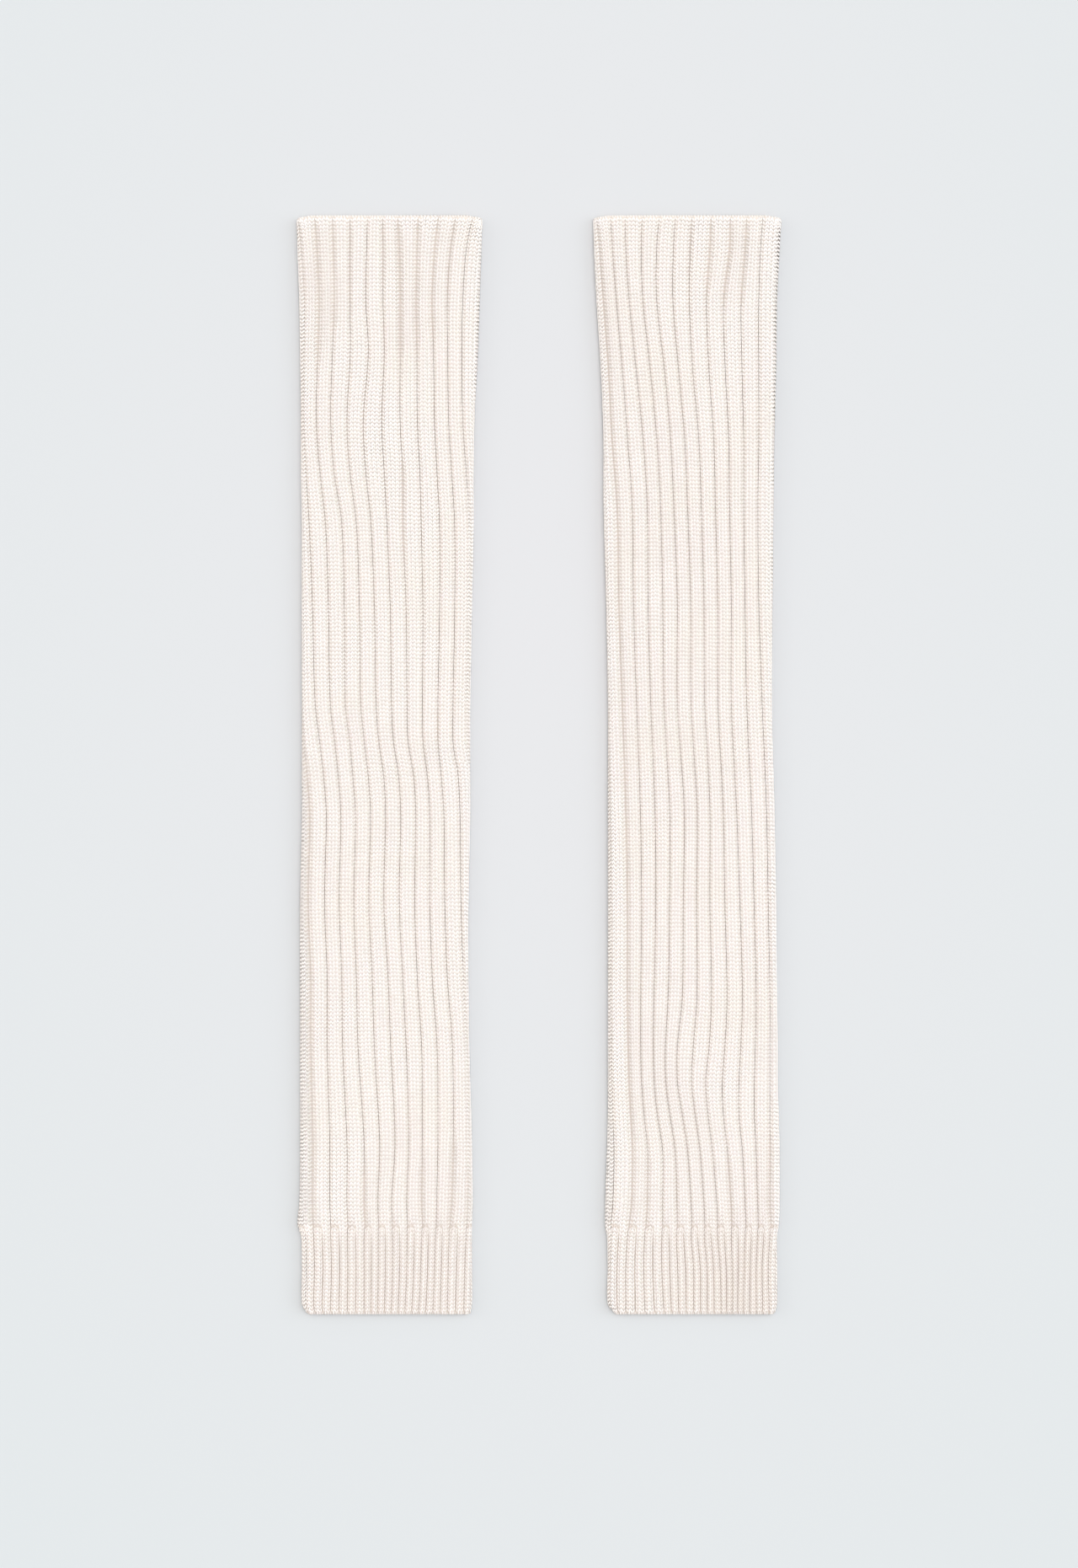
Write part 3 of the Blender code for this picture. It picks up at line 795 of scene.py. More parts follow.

# %% [markdown]
# Seen from the right side, every knit stitch is a small V of two yarn legs. So one leg of a V is all that
# has to be modelled: a slim grain that is thick in its middle, with six corners and seven small faces. It is
# used more than a hundred thousand times, so it has to stay this light, and smooth shading rounds it. The
# tail of each leg is tucked behind the stitch below, so the grain also carries how much of it shows. The
# shader paints the wool darker where less shows, on the tail and the low sides, as painted shade between
# the stitches.

# %% One leg of a stitch
TIP_HEIGHT = -0.1
SHOULDER_HEIGHT = 0.12
TAIL_COVERED = 0.3
SHOWS_OVER = 0.45
SHOWN_LOW_DOWN = 0.35
UNDERSIDE_STRIP = 0.03
TOP_STARTS = 0.05


def yarn_grain(name, crowns):
    """A grain one unit long and wide, and one high above the cloth. crowns says where its ridge is."""
    tips = [(0.0, -0.5, TIP_HEIGHT), (0.0, 0.5, TIP_HEIGHT)]
    shoulders = [(0.5, 0.0, SHOULDER_HEIGHT), (-0.5, 0.0, SHOULDER_HEIGHT)]
    ridge = [(0.0, along, 1.0) for along in crowns]
    tail, right, head, left = range(4)
    first = 4
    last = 3 + len(ridge)
    faces = [(tail, left, head, right)]
    faces += [(tail, right, first), (tail, first, left), (head, left, last), (head, last, right)]
    if first != last:
        faces += [(first, right, last), (first, last, left)]
    mesh = bpy.data.meshes.new(name)
    mesh.from_pydata([tips[0], shoulders[0], tips[1], shoulders[1], *ridge], [], faces)
    shown = mesh.attributes.new("shown", "FLOAT", "POINT")
    for vertex, value in zip(mesh.vertices, shown.data):
        past_tail = min(max((vertex.co.y + TAIL_COVERED) / SHOWS_OVER, 0.0), 1.0)
        # Less shown gets more painted shade in the shader: the tail and the low sides of the grain.
        value.value = past_tail * (1.0 if vertex.co.z > 0.5 else SHOWN_LOW_DOWN)
    yarn_map = mesh.uv_layers.new(name="yarn")
    for polygon in mesh.polygons:
        for loop in polygon.loop_indices:
            x, y, _ = mesh.vertices[mesh.loops[loop].vertex_index].co
            on_top = TOP_STARTS + (1.0 - TOP_STARTS) * (x + 0.5)
            across = UNDERSIDE_STRIP * (x + 0.5) if polygon.index == 0 else on_top
            yarn_map.uv[loop].vector = (across, y + 0.5)
    mesh.shade_smooth()
    return new_piece(name, mesh)


full_grain = yarn_grain("full_grain", crowns=(-0.2, 0.2))
flat_grain = yarn_grain("flat_grain", crowns=(0.0,))
print("grains:", len(full_grain.data.polygons), "and", len(flat_grain.data.polygons), "faces")

# %% [markdown]
# Geometry Nodes put the grains in place. The tree reads a cloud of points. Each point carries which way the
# cloth faces there, which way its wale runs, how far the yarn leans and how much room it has. The tree turns
# a grain to suit, gives it a small random wobble from a fixed seed, and makes everything real at the end.
# It also lays the grains out side by side on a second map, a cell for each, like squares on a knitting chart.

# %% Geometry Nodes: a grain of yarn at every point
def stitch_tree():
    tree = bpy.data.node_groups.new("knit stitches", "GeometryNodeTree")
    add_socket(tree, "Geometry", "INPUT", "NodeSocketGeometry")
    add_socket(tree, "Grain", "INPUT", "NodeSocketObject")
    add_socket(tree, "Yarn width", "INPUT", "NodeSocketFloat", 1.25)
    add_socket(tree, "Yarn length", "INPUT", "NodeSocketFloat", 1.75)
    add_socket(tree, "Yarn height", "INPUT", "NodeSocketFloat", 0.00038)
    add_socket(tree, "Lean", "INPUT", "NodeSocketFloat", 0.42)
    add_socket(tree, "Wobble", "INPUT", "NodeSocketFloat", 0.05)
    add_socket(tree, "Seed", "INPUT", "NodeSocketInt", 1)
    add_socket(tree, "Chart columns", "INPUT", "NodeSocketFloat", 1.0)
    add_socket(tree, "Chart rows", "INPUT", "NodeSocketFloat", 1.0)
    add_socket(tree, "Yarn", "INPUT", "NodeSocketMaterial")
    add_socket(tree, "Geometry", "OUTPUT", "NodeSocketGeometry")
    link = tree.links.new
    given = add_node(tree, "NodeGroupInput")
    out = add_node(tree, "NodeGroupOutput")

    def named(name, kind):
        node = add_node(tree, "GeometryNodeInputNamedAttribute", data_type=kind)
        node.inputs["Name"].default_value = name
        return node.outputs["Attribute"]

    grain = add_node(tree, "GeometryNodeObjectInfo")
    link(given.outputs["Grain"], grain.inputs["Object"])
    upright = add_node(tree, "FunctionNodeAxesToRotation", primary_axis="Z", secondary_axis="Y")
    link(named("facing", "FLOAT_VECTOR"), upright.inputs["Primary Axis"])
    link(named("along", "FLOAT_VECTOR"), upright.inputs["Secondary Axis"])
    wobble = add_node(tree, "FunctionNodeRandomValue", data_type="FLOAT_VECTOR")
    wobble.inputs["Min"].default_value = (-1.0, -1.0, -1.0)
    link(given.outputs["Seed"], wobble.inputs["Seed"])
    wobbles = vector_maths(tree, "SCALE", wobble.outputs["Value"], given.outputs["Wobble"])
    lean = add_node(tree, "ShaderNodeCombineXYZ")
    link(maths(tree, "MULTIPLY", named("leans", "FLOAT"), given.outputs["Lean"]), lean.inputs["Z"])
    turn = add_node(tree, "FunctionNodeEulerToRotation")
    link(vector_maths(tree, "ADD", wobbles, lean.outputs["Vector"]), turn.inputs["Euler"])
    rotation = add_node(tree, "FunctionNodeRotateRotation", rotation_space="LOCAL")
    link(upright.outputs["Rotation"], rotation.inputs["Rotation"])
    link(turn.outputs["Rotation"], rotation.inputs["Rotate By"])
    room = add_node(tree, "ShaderNodeSeparateXYZ")
    link(named("room", "FLOAT_VECTOR"), room.inputs[0])
    size = add_node(tree, "ShaderNodeCombineXYZ")
    for axis, measure in (("X", "Yarn width"), ("Y", "Yarn length"), ("Z", "Yarn height")):
        link(maths(tree, "MULTIPLY", room.outputs[axis], given.outputs[measure]), size.inputs[axis])
    points = add_node(tree, "GeometryNodeInstanceOnPoints")
    link(given.outputs["Geometry"], points.inputs["Points"])
    link(grain.outputs["Geometry"], points.inputs["Instance"])
    link(rotation.outputs["Rotation"], points.inputs["Rotation"])
    link(size.outputs["Vector"], points.inputs["Scale"])
    real = add_node(tree, "GeometryNodeRealizeInstances")
    link(points.outputs["Instances"], real.inputs["Geometry"])
    cell = vector_maths(tree, "ADD", named("cell", "FLOAT_VECTOR"), named("yarn", "FLOAT_VECTOR"))
    chart = add_node(tree, "ShaderNodeCombineXYZ")
    chart.inputs["Z"].default_value = 1.0
    link(given.outputs["Chart columns"], chart.inputs["X"])
    link(given.outputs["Chart rows"], chart.inputs["Y"])
    on_chart = vector_maths(tree, "DIVIDE", cell, chart.outputs["Vector"])
    laid_out = add_node(tree, "GeometryNodeStoreNamedAttribute", data_type="FLOAT2", domain="CORNER")
    laid_out.inputs["Name"].default_value = "OFBake"
    link(real.outputs["Geometry"], laid_out.inputs["Geometry"])
    link(on_chart, laid_out.inputs["Value"])
    finished = add_node(tree, "GeometryNodeSetMaterial")
    link(laid_out.outputs["Geometry"], finished.inputs["Geometry"])
    link(given.outputs["Yarn"], finished.inputs["Material"])
    link(finished.outputs["Geometry"], out.inputs["Geometry"])
    return tree


stitches_tree = stitch_tree()
tree_sockets = stitches_tree.interface.items_tree
tree_inputs = {socket.name: socket.identifier for socket in tree_sockets if socket.in_out == "INPUT"}
print("tree inputs:", ", ".join(tree_inputs))

# %% [markdown]
# A small helper runs that tree. It makes the cloud of points, sets the tree's inputs before anything is
# worked out, takes the finished mesh off the object that carried the points, and throws the carrier away.
# What stays is a plain mesh, ready to be placed with the others.

# %% From points to a plain mesh of stitches
REST_GAP = 0.00002
SPENT = ("facing", "along", "room", "cell", "leans")
Chart = namedtuple("Chart", "stitches columns rows")


def knit_piece(name, chart, grain, material, seed, shape):
    """Lays a grain at every stitch of a chart. shape holds the tree inputs that differ for this piece."""
    cloud = bpy.data.meshes.new(f"{name}_points")
    cloud.from_pydata(chart.stitches["point"], [], [])
    for key in ("facing", "along", "room", "cell"):
        values = cloud.attributes.new(key, "FLOAT_VECTOR", "POINT")
        values.data.foreach_set("vector", chart.stitches[key].astype(np.float32).ravel())
    for key in ("leans", "tint", "painted_shade"):
        values = cloud.attributes.new(key, "FLOAT", "POINT")
        values.data.foreach_set("value", chart.stitches[key].astype(np.float32))
    carrier = new_piece(f"{name}_carrier", cloud)
    modifier = carrier.modifiers.new("stitches", "NODES")
    modifier.node_group = stitches_tree
    chart_size = {"Chart columns": float(chart.columns), "Chart rows": float(chart.rows)}
    for key, value in {"Grain": grain, "Yarn": material, "Seed": seed, **chart_size, **shape}.items():
        modifier[tree_inputs[key]] = value
    view_layer = bpy.context.evaluated_depsgraph_get()
    mesh = bpy.data.meshes.new_from_object(carrier.evaluated_get(view_layer))
    mesh.name = name
    places = np.empty(len(mesh.vertices) * 3, dtype=np.float32)
    mesh.vertices.foreach_get("co", places)
    places[2::3] = np.maximum(places[2::3], REST_GAP)
    mesh.vertices.foreach_set("co", places)
    bpy.data.objects.remove(carrier, do_unlink=True)
    bpy.data.meshes.remove(cloud)
    for spent in SPENT:
        if spent in mesh.attributes:
            mesh.attributes.remove(mesh.attributes[spent])
    print(name, len(mesh.polygons), "faces")
    return new_piece(name, mesh)


print("taken off a finished mesh:", ", ".join(SPENT))

# %% [markdown]
# Before a chart can be drawn up, each stitch has to know how the cloth lies there. A look a little up and
# down the tube gives the way that the wale runs, and a look to each side gives the slope of the rib. The
# stitch faces partly with that slope and partly with the round tube, since yarn bridges sharp corners.

# %% How the cloth lies under a stitch
LOOK_ALONG = 0.6
LOOK_ACROSS = 0.015
SLOPE_SHARE = 0.6


def unit(vectors):
    return vectors / np.linalg.norm(vectors, axis=1)[:, None]


def directions(tube, rib, down, inset, drop=0.0):
    """The point of the cloth under a stitch, which way it faces, and the ways along and across its wale."""
    point, round_facing = tube.surface(rib, down, inset, drop)
    upper, _ = tube.surface(rib, np.maximum(down - LOOK_ALONG, 0.0), inset, drop)
    lower, _ = tube.surface(rib, np.minimum(down + LOOK_ALONG, LENGTH), inset, drop)
    left, _ = tube.surface(rib - LOOK_ACROSS, down, inset, drop)
    right, _ = tube.surface(rib + LOOK_ACROSS, down, inset, drop)
    along = unit(upper - lower)
    across = unit(right - left)
    facing = unit(np.cross(across, along) * SLOPE_SHARE + round_facing * (1.0 - SLOPE_SHARE))
    return point, facing, along, across


def every_pairing(*choices):
    """Flat arrays that together hold every combination of the choices."""
    return (part.ravel().astype(float) for part in np.meshgrid(*choices, indexing="ij"))


def room_for(width, length):
    """The room that each grain has, in metres. Its height is only a factor."""
    return np.column_stack([width * MM, length * MM, np.ones(len(width))])


def chart_cell(column, row):
    return np.column_stack([column, row, np.zeros(len(row))])


crown_of_rib_four = np.array([4.5])
halfway_down = np.array([LENGTH / 2])
_, crown_facing, _, _ = directions(PAIR[0], crown_of_rib_four, halfway_down, YARN_HEIGHT)
print("a stitch on a crown faces", np.round(crown_facing[0], 2))

# %% [markdown]
# Now the wales themselves. A wide rib has four knit wales, each with a left and a right leg at every course.
# Where the cuff starts they draw apart into two narrow ribs of two wales. The hand of the knitter and the
# pull of the cloth make no two stitches alike, so slow waves and a little chance shift each one.

# %% Knit wales
LEG_APART = 0.25
PARTS_OVER = 4.0
SLOW_WAVE = 23.0
SLOW_STEP = 0.9
QUICK_WAVE = 7.3
QUICK_STEP = 2.1
GAUGE_SHIFT = 0.22
GAUGE_CHANCE = 0.07
WALE_PHASE = 0.14
PHASE_BY_RIB = 12.9
PHASE_BY_WALE = 2.4
MOUTH_MARGIN = 0.8
LEG_ROLL = 0.22
OUTER_LEAN = 1.5
# Painted shade on the stitches down a rib's flanks and in the groove round each arch.
FLANK_SHADE = 0.3
ARCH_SHADE = 0.45
CHANCE_SEED = 41
chance = np.random.default_rng(CHANCE_SEED)


def wale_place(tube, rib, wale, side, down, outline):
    """The rib number of a leg of a stitch. wale counts from 0 and side is -1 or 1."""
    pitch = tube.pitch(rib + 0.5, outline)
    before = tube.valley_width(rib, down) / 2
    after = tube.valley_width(rib + 1, down) / 2
    share = (wale + 0.5 + LEG_APART * side) / KNIT_WALES
    wide = before + share * (pitch - before - after)
    half = pitch / 2
    pair = np.floor(wale / 2)
    narrow_share = (np.mod(wale, 2) + 0.5 + LEG_APART * side) / 2
    narrow = pair * half + CUFF_VALLEY / 2 + narrow_share * (half - CUFF_VALLEY)
    parted = smooth_step((down - CUFF_STARTS - ARCH_TOP) / PARTS_OVER)
    across = wide * (1.0 - parted) + narrow * parted
    wide_room = (pitch - before - after) / KNIT_WALES / 2
    narrow_room = (half - CUFF_VALLEY) / 4
    return rib + across / pitch, wide_room * (1.0 - parted) + narrow_room * parted


def wale_phase(rib, wale):
    """Each wale's stitches sit a little higher or lower than its neighbour's, as a share of a course."""
    return WALE_PHASE * np.sin(rib * PHASE_BY_RIB + wale * PHASE_BY_WALE)


def knit_wales(tube, ribs, starts, ends, courses):
    """Both legs of every knit stitch on these ribs, in millimetres down the tube."""
    rib, wale, side, course = every_pairing(ribs, np.arange(KNIT_WALES), (-1, 1), np.arange(courses))
    step = (ends - starts) / courses
    down = starts + (course + 0.5) * step
    slow = np.sin(down / SLOW_WAVE + rib * SLOW_STEP)
    quick = np.sin(down / QUICK_WAVE + rib * QUICK_STEP + wale)
    down += GAUGE_SHIFT * slow + GAUGE_SHIFT * quick
    down += wale_phase(rib, wale) * step + chance.normal(0.0, GAUGE_CHANCE, len(down))
    down = np.clip(down, MOUTH_MARGIN, LENGTH - MOUTH_MARGIN)
    outline = tube.outline(down)
    place, width = wale_place(tube, rib, wale, side, down, outline)
    sink = tube.relief(place, down, outline)
    by_arch = tube.beside_arch(place, down, outline)
    point, facing, along, across = directions(tube, place, down, YARN_HEIGHT)
    outermost = ((wale == 0) & (side < 0)) | ((wale == KNIT_WALES - 1) & (side > 0))
    column = ((rib - ribs[0]) * KNIT_WALES + wale) * 2 + (side + 1) / 2
    stitches = {
        "point": point,
        "facing": unit(facing + across * (LEG_ROLL * side)[:, None]),
        "along": along,
        "leans": -side * np.where(outermost, OUTER_LEAN, 1.0),
        "room": room_for(width, np.full(len(width), step)),
        "cell": chart_cell(column, course),
        "tint": chance.uniform(-1.0, 1.0, len(width)),
        # Painted shade: darker down the rib's flanks and in the groove round each arch.
        "painted_shade": np.clip(sink / RIB_RISE, 0.0, 1.0) * FLANK_SHADE + by_arch * ARCH_SHADE,
    }
    return Chart(stitches, len(ribs) * KNIT_WALES * 2, courses)


print("legs of stitches at one course of the front:", (FRONT_RIBS[1] - FRONT_RIBS[0] + 1) * KNIT_WALES * 2)

# %% [markdown]
# Between the ribs run the purl wales, which show the back of a stitch: a small cross bar of yarn. Where a
# valley is shut they all but touch, and where it stands open the bars move apart, lie deeper and lean.

# %% Purl bars in the valleys
CLOSED_LIFT = 0.6
OPEN_LIFT = 0.35
OPENED_OVER = 1.4
BAR_STAGGER = 0.06
BAR_APART = 0.27
BAR_FROM_MIDDLE = 0.15
BAR_SHARE = 0.5
BAR_REACH = 0.6
BAR_SPARE = 0.4
CLOSED_LEAN = 0.25
# Painted shade on the purl bars, a little less where the valley stands open.
CLOSED_SHADE = 0.14
OPEN_LIGHTER = 0.06
BAR_SHAPE = {"Lean": 0.6, "Yarn length": 1.2, "Yarn width": 1.0}


def purl_bars(tube, valleys, starts, ends, courses):
    """Two bars side by side in each valley at every course."""
    rib, side, course = every_pairing(valleys, (-1, 1), np.arange(courses))
    step = (ends - starts) / courses
    down = starts + (course + 0.5) * step + BAR_STAGGER * side
    outline = tube.outline(down)
    pitch = tube.pitch(rib + 0.5, outline)
    width = tube.valley_width(rib, down)
    opened = smooth_step((width - CLOSED_VALLEY) / OPENED_OVER)
    place = rib + side * (width * BAR_APART + BAR_FROM_MIDDLE) / pitch
    middle, facing, _, across = directions(tube, rib, down, YARN_HEIGHT)
    beside, _ = tube.surface(place, down, YARN_HEIGHT)
    lift = (CLOSED_LIFT + (OPEN_LIFT - CLOSED_LIFT) * opened) * MM
    stitches = {
        "point": np.column_stack([beside[:, 0], middle[:, 1], middle[:, 2] + lift]),
        "facing": facing,
        "along": across,
        "leans": side * (CLOSED_LEAN + (1.0 - CLOSED_LEAN) * opened),
        "room": room_for(np.full(len(width), step * BAR_SHARE), width * BAR_REACH + BAR_SPARE),
        "cell": chart_cell((rib - valleys[0]) * 2 + (side + 1) / 2, course),
        "tint": chance.uniform(-1.0, 1.0, len(width)),
        # Painted shade on the purl bars, less where the valley stands open.
        "painted_shade": CLOSED_SHADE - OPEN_LIGHTER * opened,
    }
    return Chart(stitches, len(valleys) * 2, courses)


print("a bar lies", OPEN_LIFT, "to", CLOSED_LIFT, "mm above its valley")

# %% [markdown]
# At the top of the cuff the knitter shares the stitches out anew: one purl wale of every two moves to the
# middle of a wide rib, so that it becomes two narrow ones. The yarn runs in a small arch round the head of
# the narrow rib that starts there. A few grains on a half circle of points draw it.

# %% Arches where the narrow ribs start
ARCH_GRAINS = 6
ARCH_YARN_TOP = 1.7
ARCH_GAP = 0.3
ARCH_RAISED = 0.35
ARCH_YARN_WIDTH = 0.95
ARCH_YARN_LENGTH = 1.5
ARCH_TINT = 0.9
ARCH_SHAPE = {"Lean": 1.0, "Yarn length": 1.3, "Yarn width": 1.0}


def arch_rows(tube, ribs):
    """The round head of each narrow rib that starts right of a valley: yarn laid in a small arch."""
    rib, number = every_pairing(ribs, np.arange(ARCH_GRAINS))
    turn = math.pi * (number + 0.5) / ARCH_GRAINS
    down = CUFF_STARTS + ARCH_YARN_TOP + ARCH_DEPTH * (1.0 - np.sin(turn))
    outline = tube.outline(down)
    pitch = tube.pitch(rib + 0.5, outline)
    reach = pitch / 4 - ARCH_GAP
    place = rib + (pitch / 4 - reach * np.cos(turn)) / pitch
    point, facing, along, _ = directions(tube, place, down, YARN_HEIGHT - ARCH_RAISED)
    count = len(turn)
    stitches = {
        "point": point,
        "facing": facing,
        "along": along,
        "leans": -np.arctan2(reach * np.sin(turn), ARCH_DEPTH * np.cos(turn)),
        "room": room_for(np.full(count, ARCH_YARN_WIDTH), np.full(count, ARCH_YARN_LENGTH)),
        "cell": chart_cell(rib - ribs[0], number),
        "tint": np.full(count, ARCH_TINT),
        "painted_shade": np.zeros(count),
    }
    return Chart(stitches, len(ribs), ARCH_GRAINS)


print("grains round the arches of a cuff:", RIBS_AROUND * ARCH_GRAINS)

# %% [markdown]
# With the charts in hand, each leg warmer is knitted part by part. Chance is drawn in the order of these
# rows, so they stay in this order. The hidden back of the leg has the lighter grain.

# %% Knit both leg warmers
front_ribs = np.arange(FRONT_RIBS[0], FRONT_RIBS[1] + 1)
back_ribs = np.arange(FRONT_RIBS[1] + 1, FRONT_RIBS[0] + RIBS_AROUND)
all_ribs = np.arange(FRONT_RIBS[0], FRONT_RIBS[0] + RIBS_AROUND)
shown_valleys = np.arange(FRONT_RIBS[0] - 1, FRONT_RIBS[1] + 2)
CAST_OFF_DEPTH = 1.0
leg_run = (WELT_DEPTH, CUFF_STARTS, leg_courses)
purl_run = (WELT_DEPTH - 2 * COURSE, CUFF_STARTS, leg_courses + 2)
cuff_run = (CUFF_STARTS, LENGTH - CAST_OFF_DEPTH, cuff_courses)
welt_run = (WELT_DEPTH - welt_courses * COURSE, WELT_DEPTH, welt_courses)
PLAIN = {}
knitted = {}
for number, tube in enumerate(PAIR):
    for part, label, grain, seed, chart, shape in (
        ("leg", "front_stitches", full_grain, 3, knit_wales(tube, front_ribs, *leg_run), PLAIN),
        ("leg", "back_stitches", flat_grain, 5, knit_wales(tube, back_ribs, *leg_run), PLAIN),
        ("leg", "purl_stitches", full_grain, 7, purl_bars(tube, shown_valleys, *purl_run), BAR_SHAPE),
        ("cuff", "arch_stitches", full_grain, 15, arch_rows(tube, all_ribs), ARCH_SHAPE),
        ("cuff", "stitches", full_grain, 9, knit_wales(tube, all_ribs, *cuff_run), PLAIN),
        ("top_welt", "stitches", full_grain, 11, knit_wales(tube, all_ribs, *welt_run), PLAIN),
    ):
        name = f"{tube.side}_{part}_{label}"
        piece = knit_piece(name, chart, grain, loop_material[part], seed + number, shape)
        knitted.setdefault((tube.side, part), []).append(piece)

# %% [markdown]
# A knitter ends the work with a chain of loops that lie along the edge, so that nothing unravels. The same
# tree makes both edges: here the wale runs round the rim in place of down the tube.

# %% Cast-on and cast-off edges
CHAIN_APART = 0.35
CHAIN_WIDTH = 0.85
CHAIN_TINT = 0.6
# Painted shade on the loops of the edge chains.
CHAIN_SHADE = 0.12
CHAIN_SHAPE = {"Lean": 0.3, "Yarn length": 1.5, "Yarn width": 1.2}
CHAIN_SEED = 13
Edge = namedtuple("Edge", "part label down inset drop tilt")
EDGES = (
    Edge("cuff", "cast_off_edge", LENGTH - 0.9, 0.55, 0.1, 0.0),
    Edge("cuff", "cast_off_rim", LENGTH - 0.25, 1.1, 0.3, -1.4),
    Edge("top_welt", "cast_on_edge", 0.9, 0.7, 0.1, 0.3),
    Edge("top_welt", "cast_on_rim", 0.45, 1.2, 0.3, 1.4),
)


def edge_chain(tube, edge):
    """Two rows of grains that lean towards each other, a pair for every wale round the rim."""
    rib, side = every_pairing(np.arange(WALES_AROUND) / WALES_A_RIB, (-1.0, 1.0))
    count = len(rib)
    downs = np.full(count, edge.down)
    wale_width = tube.pitch(rib, tube.outline(downs)) / WALES_A_RIB
    point, facing, along, across = directions(tube, rib, downs + side * CHAIN_APART, edge.inset, edge.drop)
    stitches = {
        "point": point,
        "facing": unit(facing + along * edge.tilt),
        "along": across,
        "leans": side,
        "room": room_for(np.full(count, CHAIN_WIDTH), wale_width),
        "cell": chart_cell(np.arange(count) // 2, (side + 1) / 2),
        "tint": chance.uniform(-CHAIN_TINT, CHAIN_TINT, count),
        # Painted shade on every loop of the chain.
        "painted_shade": np.full(count, CHAIN_SHADE),
    }
    return Chart(stitches, WALES_AROUND, 2)


for number, tube in enumerate(PAIR):
    for edge in EDGES:
        name = f"{tube.side}_{edge.part}_{edge.label}"
        chain = edge_chain(tube, edge)
        material = loop_material[edge.part]
        piece = knit_piece(name, chain, full_grain, material, CHAIN_SEED + number, CHAIN_SHAPE)
        knitted[tube.side, edge.part].append(piece)

for grain in (full_grain, flat_grain):
    bpy.data.objects.remove(grain, do_unlink=True)

# %% [markdown]
# The plain solids are hidden and the cloth walls take their places. Every cloth wall and every piece of
# stitches hangs under one root empty. The length once round each tube is worked out at the middle of the leg
# and of the cuff, but it is not kept.

# %% Hide the solids and hang the pieces under one root
SLOTS = {"leg": "wide_rib", "cuff": "narrow_rib", "top_welt": "plain_welt"}
PART_MIDDLE = {"leg": LENGTH / 2, "cuff": LENGTH - CUFF_DEPTH / 2}
for tube in PAIR:
    for part, slot in SLOTS.items():
        shell = cloths[tube.side, part]
        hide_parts(f"{tube.side}_{part}")
        for piece in [shell, *knitted[tube.side, part]]:
            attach(piece, "root")
    on_leg = [*knitted[tube.side, "leg"], cloths[tube.side, "top_welt"], *knitted[tube.side, "top_welt"]]
    for part, goes_with in (("leg", on_leg), ("cuff", knitted[tube.side, "cuff"])):
        once_round = float(tube.outline(np.array([PART_MIDDLE[part]])).once_round[0])

# %% [markdown]
# The pair lies on a smooth, very pale blue-grey surface. It is one large sheet with a barely uneven colour:
# faint random patches, and painted light that makes it a little lighter and warmer round its middle and
# darker and bluer towards its edges. Both are faint, so that nothing in it draws the eye.

# %% Surface under the pair
FLOOR_HALF = 6.0
# Painted light: the floor's colour is lighter and warmer round its middle and darker and bluer at its edges.
FLOOR_SHADED_EDGE_COLOUR = (0.549, 0.578, 0.590, 1.0)
FLOOR_LIT_MIDDLE_COLOUR = (0.582, 0.583, 0.598, 1.0)
FLOOR_LIT_PLACE = (0.0, -0.15, 0.0)
FLOOR_LIT_SCALE = (2.0, 1.3, 1.0)
FLOOR_FINISH = {"Roughness": 0.8, "Specular IOR Level": 0.2}
PATCH_SCALE = 1.5
PATCH_SHARE = 0.12

floor_mesh = bpy.data.meshes.new("floor")
floor_corners = [(x * FLOOR_HALF, y * FLOOR_HALF, 0.0) for x, y in ((-1, -1), (1, -1), (1, 1), (-1, 1))]
floor_mesh.from_pydata(floor_corners, [], [(0, 1, 2, 3)])
floor_material = bpy.data.materials.new("pale surface")
floor_material.use_nodes = True
floor_tree = floor_material.node_tree
floor_shader = floor_tree.nodes["Principled BSDF"]
for socket, value in FLOOR_FINISH.items():
    floor_shader.inputs[socket].default_value = value
floor_where = add_node(floor_tree, "ShaderNodeTexCoord")
floor_reach = add_node(floor_tree, "ShaderNodeMapping")
floor_reach.inputs["Location"].default_value = FLOOR_LIT_PLACE
floor_reach.inputs["Scale"].default_value = FLOOR_LIT_SCALE
# A soft pool of painted light round the middle of the floor.
floor_light_pool = add_node(floor_tree, "ShaderNodeTexGradient", gradient_type="SPHERICAL")
floor_noise = add_node(floor_tree, "ShaderNodeTexNoise")
floor_noise.inputs["Scale"].default_value = PATCH_SCALE
floor_mix = add_node(floor_tree, "ShaderNodeMix", data_type="RGBA")
floor_mix.inputs["A"].default_value = FLOOR_SHADED_EDGE_COLOUR
floor_mix.inputs["B"].default_value = FLOOR_LIT_MIDDLE_COLOUR
floor_link = floor_tree.links.new
floor_link(floor_where.outputs["Object"], floor_reach.inputs["Vector"])
floor_link(floor_reach.outputs["Vector"], floor_light_pool.inputs["Vector"])
floor_link(floor_where.outputs["Object"], floor_noise.inputs["Vector"])
patches = floor_noise.outputs["Fac"]
middle = floor_light_pool.outputs["Fac"]
floor_share = maths(floor_tree, "MULTIPLY_ADD", patches, PATCH_SHARE, middle, use_clamp=True)
floor_link(floor_share, floor_mix.inputs["Factor"])
floor_link(floor_mix.outputs["Result"], floor_shader.inputs["Base Color"])
floor = new_piece("floor", floor_mesh, floor_material)
print("floor", 2 * FLOOR_HALF, "m wide")

# %% [markdown]
# Studio light for pale goods comes from a bright tent: strongest overhead, some from low on the right and a
# little from the left. Then deep folds stay light, and each tube has only a faint wide shadow on its left.
# The world gives all of it. Every bright place in the tent is a soft spot round one direction, which leaves
# less grain in the picture than lamps would. What the camera itself sees of the world stays plain and pale.

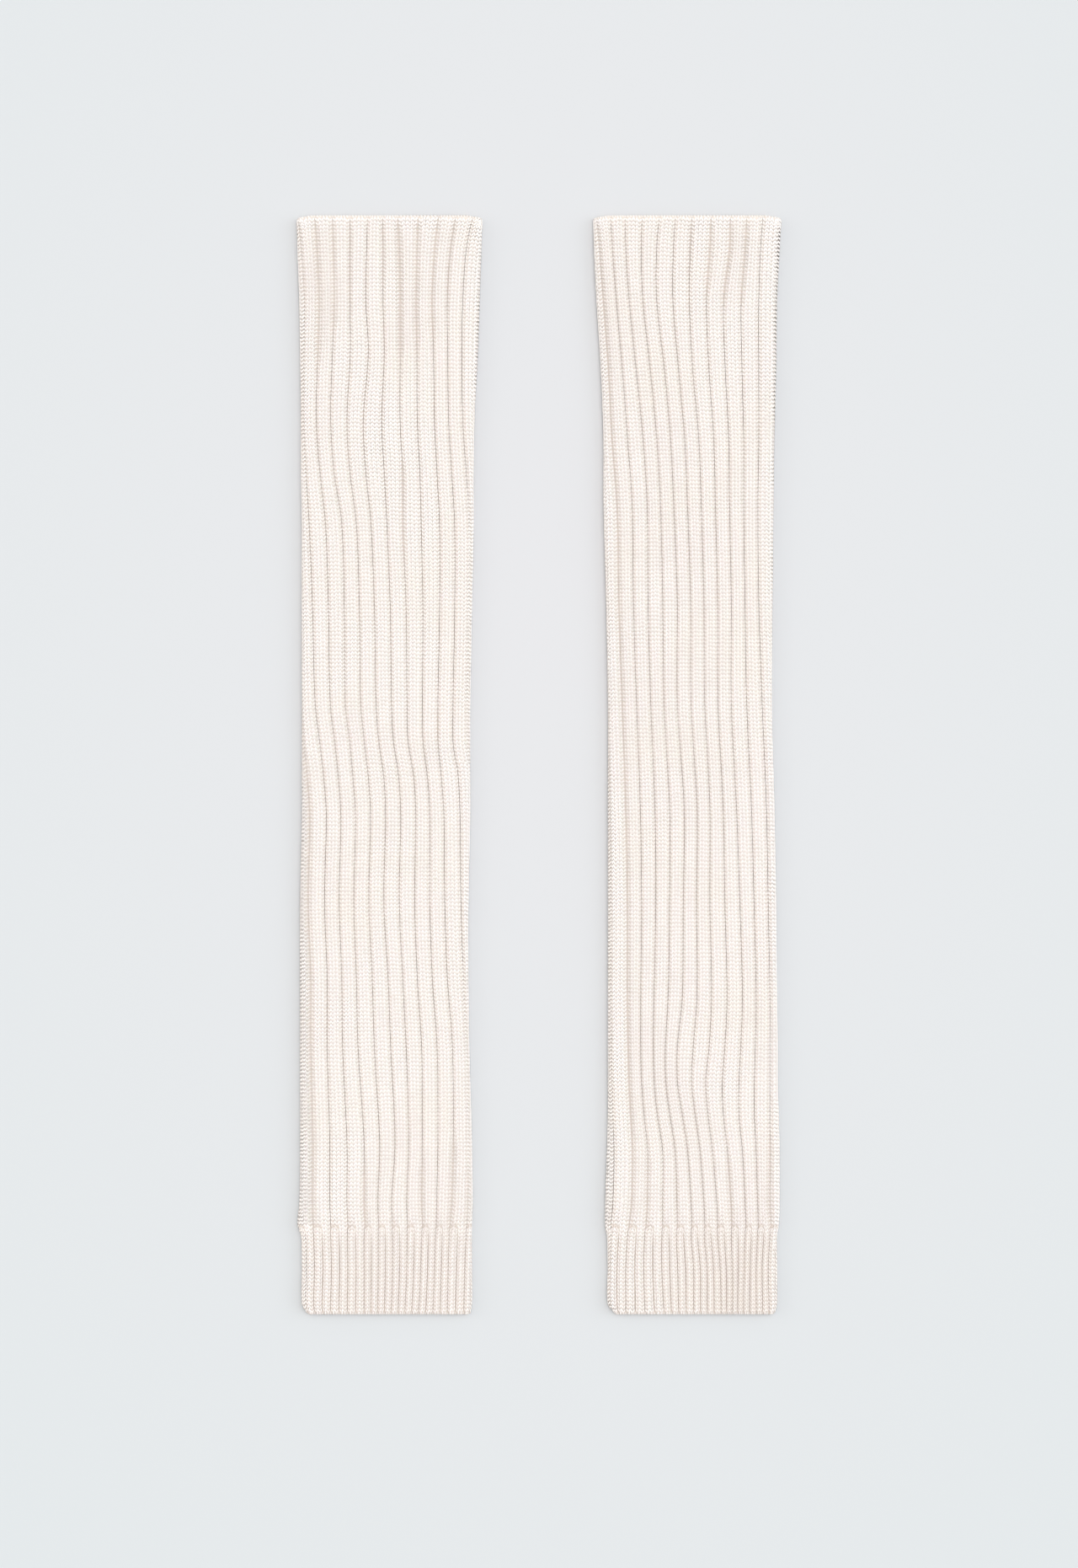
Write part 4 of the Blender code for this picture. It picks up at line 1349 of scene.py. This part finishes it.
# %% Light from the tent
BrightPlace = namedtuple("BrightPlace", "name toward tightness strength colour")
BRIGHT_PLACES = (
    BrightPlace("overhead", (0.10, 0.10, 0.99), 25.0, 9.0, (1.0, 0.992, 0.98)),
    BrightPlace("low on the right", (0.86, 0.12, 0.50), 12.0, 2.75, (0.87, 0.94, 1.0)),
    BrightPlace("on the left", (-0.90, 0.10, 0.42), 8.0, 1.6, (1.0, 0.98, 0.95)),
)
TENT_COLOUR = (0.44, 0.436, 0.431)
HORIZON = 0.05
BACKDROP_COLOUR = (0.82, 0.835, 0.85, 1.0)
SHARPNESS = 0.8

world = bpy.data.worlds.new("pale room")
world.use_nodes = True
world_tree = world.node_tree
tent = world_tree.nodes["Background"]
world_link = world_tree.links.new
direction = add_node(world_tree, "ShaderNodeTexCoord")

tent_light = add_node(world_tree, "ShaderNodeRGB")
tent_light.outputs[0].default_value = (*TENT_COLOUR, 1.0)
light_so_far = tent_light.outputs[0]
for bright in BRIGHT_PLACES:
    nearness = vector_maths(world_tree, "DOT_PRODUCT", direction.outputs["Generated"], bright.toward)
    spot = maths(world_tree, "POWER", maths(world_tree, "MAXIMUM", nearness, 0.0), bright.tightness)
    glow = add_node(world_tree, "ShaderNodeRGB")
    glow.outputs[0].default_value = (*(channel * bright.strength for channel in bright.colour), 1.0)
    glowing = vector_maths(world_tree, "SCALE", glow.outputs[0], spot)
    light_so_far = vector_maths(world_tree, "ADD", light_so_far, glowing)
    print("light", bright.name, bright.strength)

height = add_node(world_tree, "ShaderNodeSeparateXYZ")
world_link(direction.outputs["Generated"], height.inputs[0])
above = map_range(world_tree, height.outputs["Z"], from_max=HORIZON)
light_so_far = vector_maths(world_tree, "SCALE", light_so_far, above)
backdrop = add_node(world_tree, "ShaderNodeBackground")
backdrop.inputs["Color"].default_value = BACKDROP_COLOUR
seen = add_node(world_tree, "ShaderNodeLightPath")
either = add_node(world_tree, "ShaderNodeMixShader")
world_link(light_so_far, tent.inputs["Color"])
world_link(seen.outputs["Is Camera Ray"], either.inputs["Fac"])
world_link(tent.outputs["Background"], either.inputs[1])
world_link(backdrop.outputs["Background"], either.inputs[2])
world_link(either.outputs["Shader"], world_tree.nodes["World Output"].inputs["Surface"])
bpy.context.scene.world = world
bpy.context.scene.view_settings.view_transform = "Standard"
bpy.context.scene.view_settings.look = "None"
bpy.context.scene.cycles.filter_width = SHARPNESS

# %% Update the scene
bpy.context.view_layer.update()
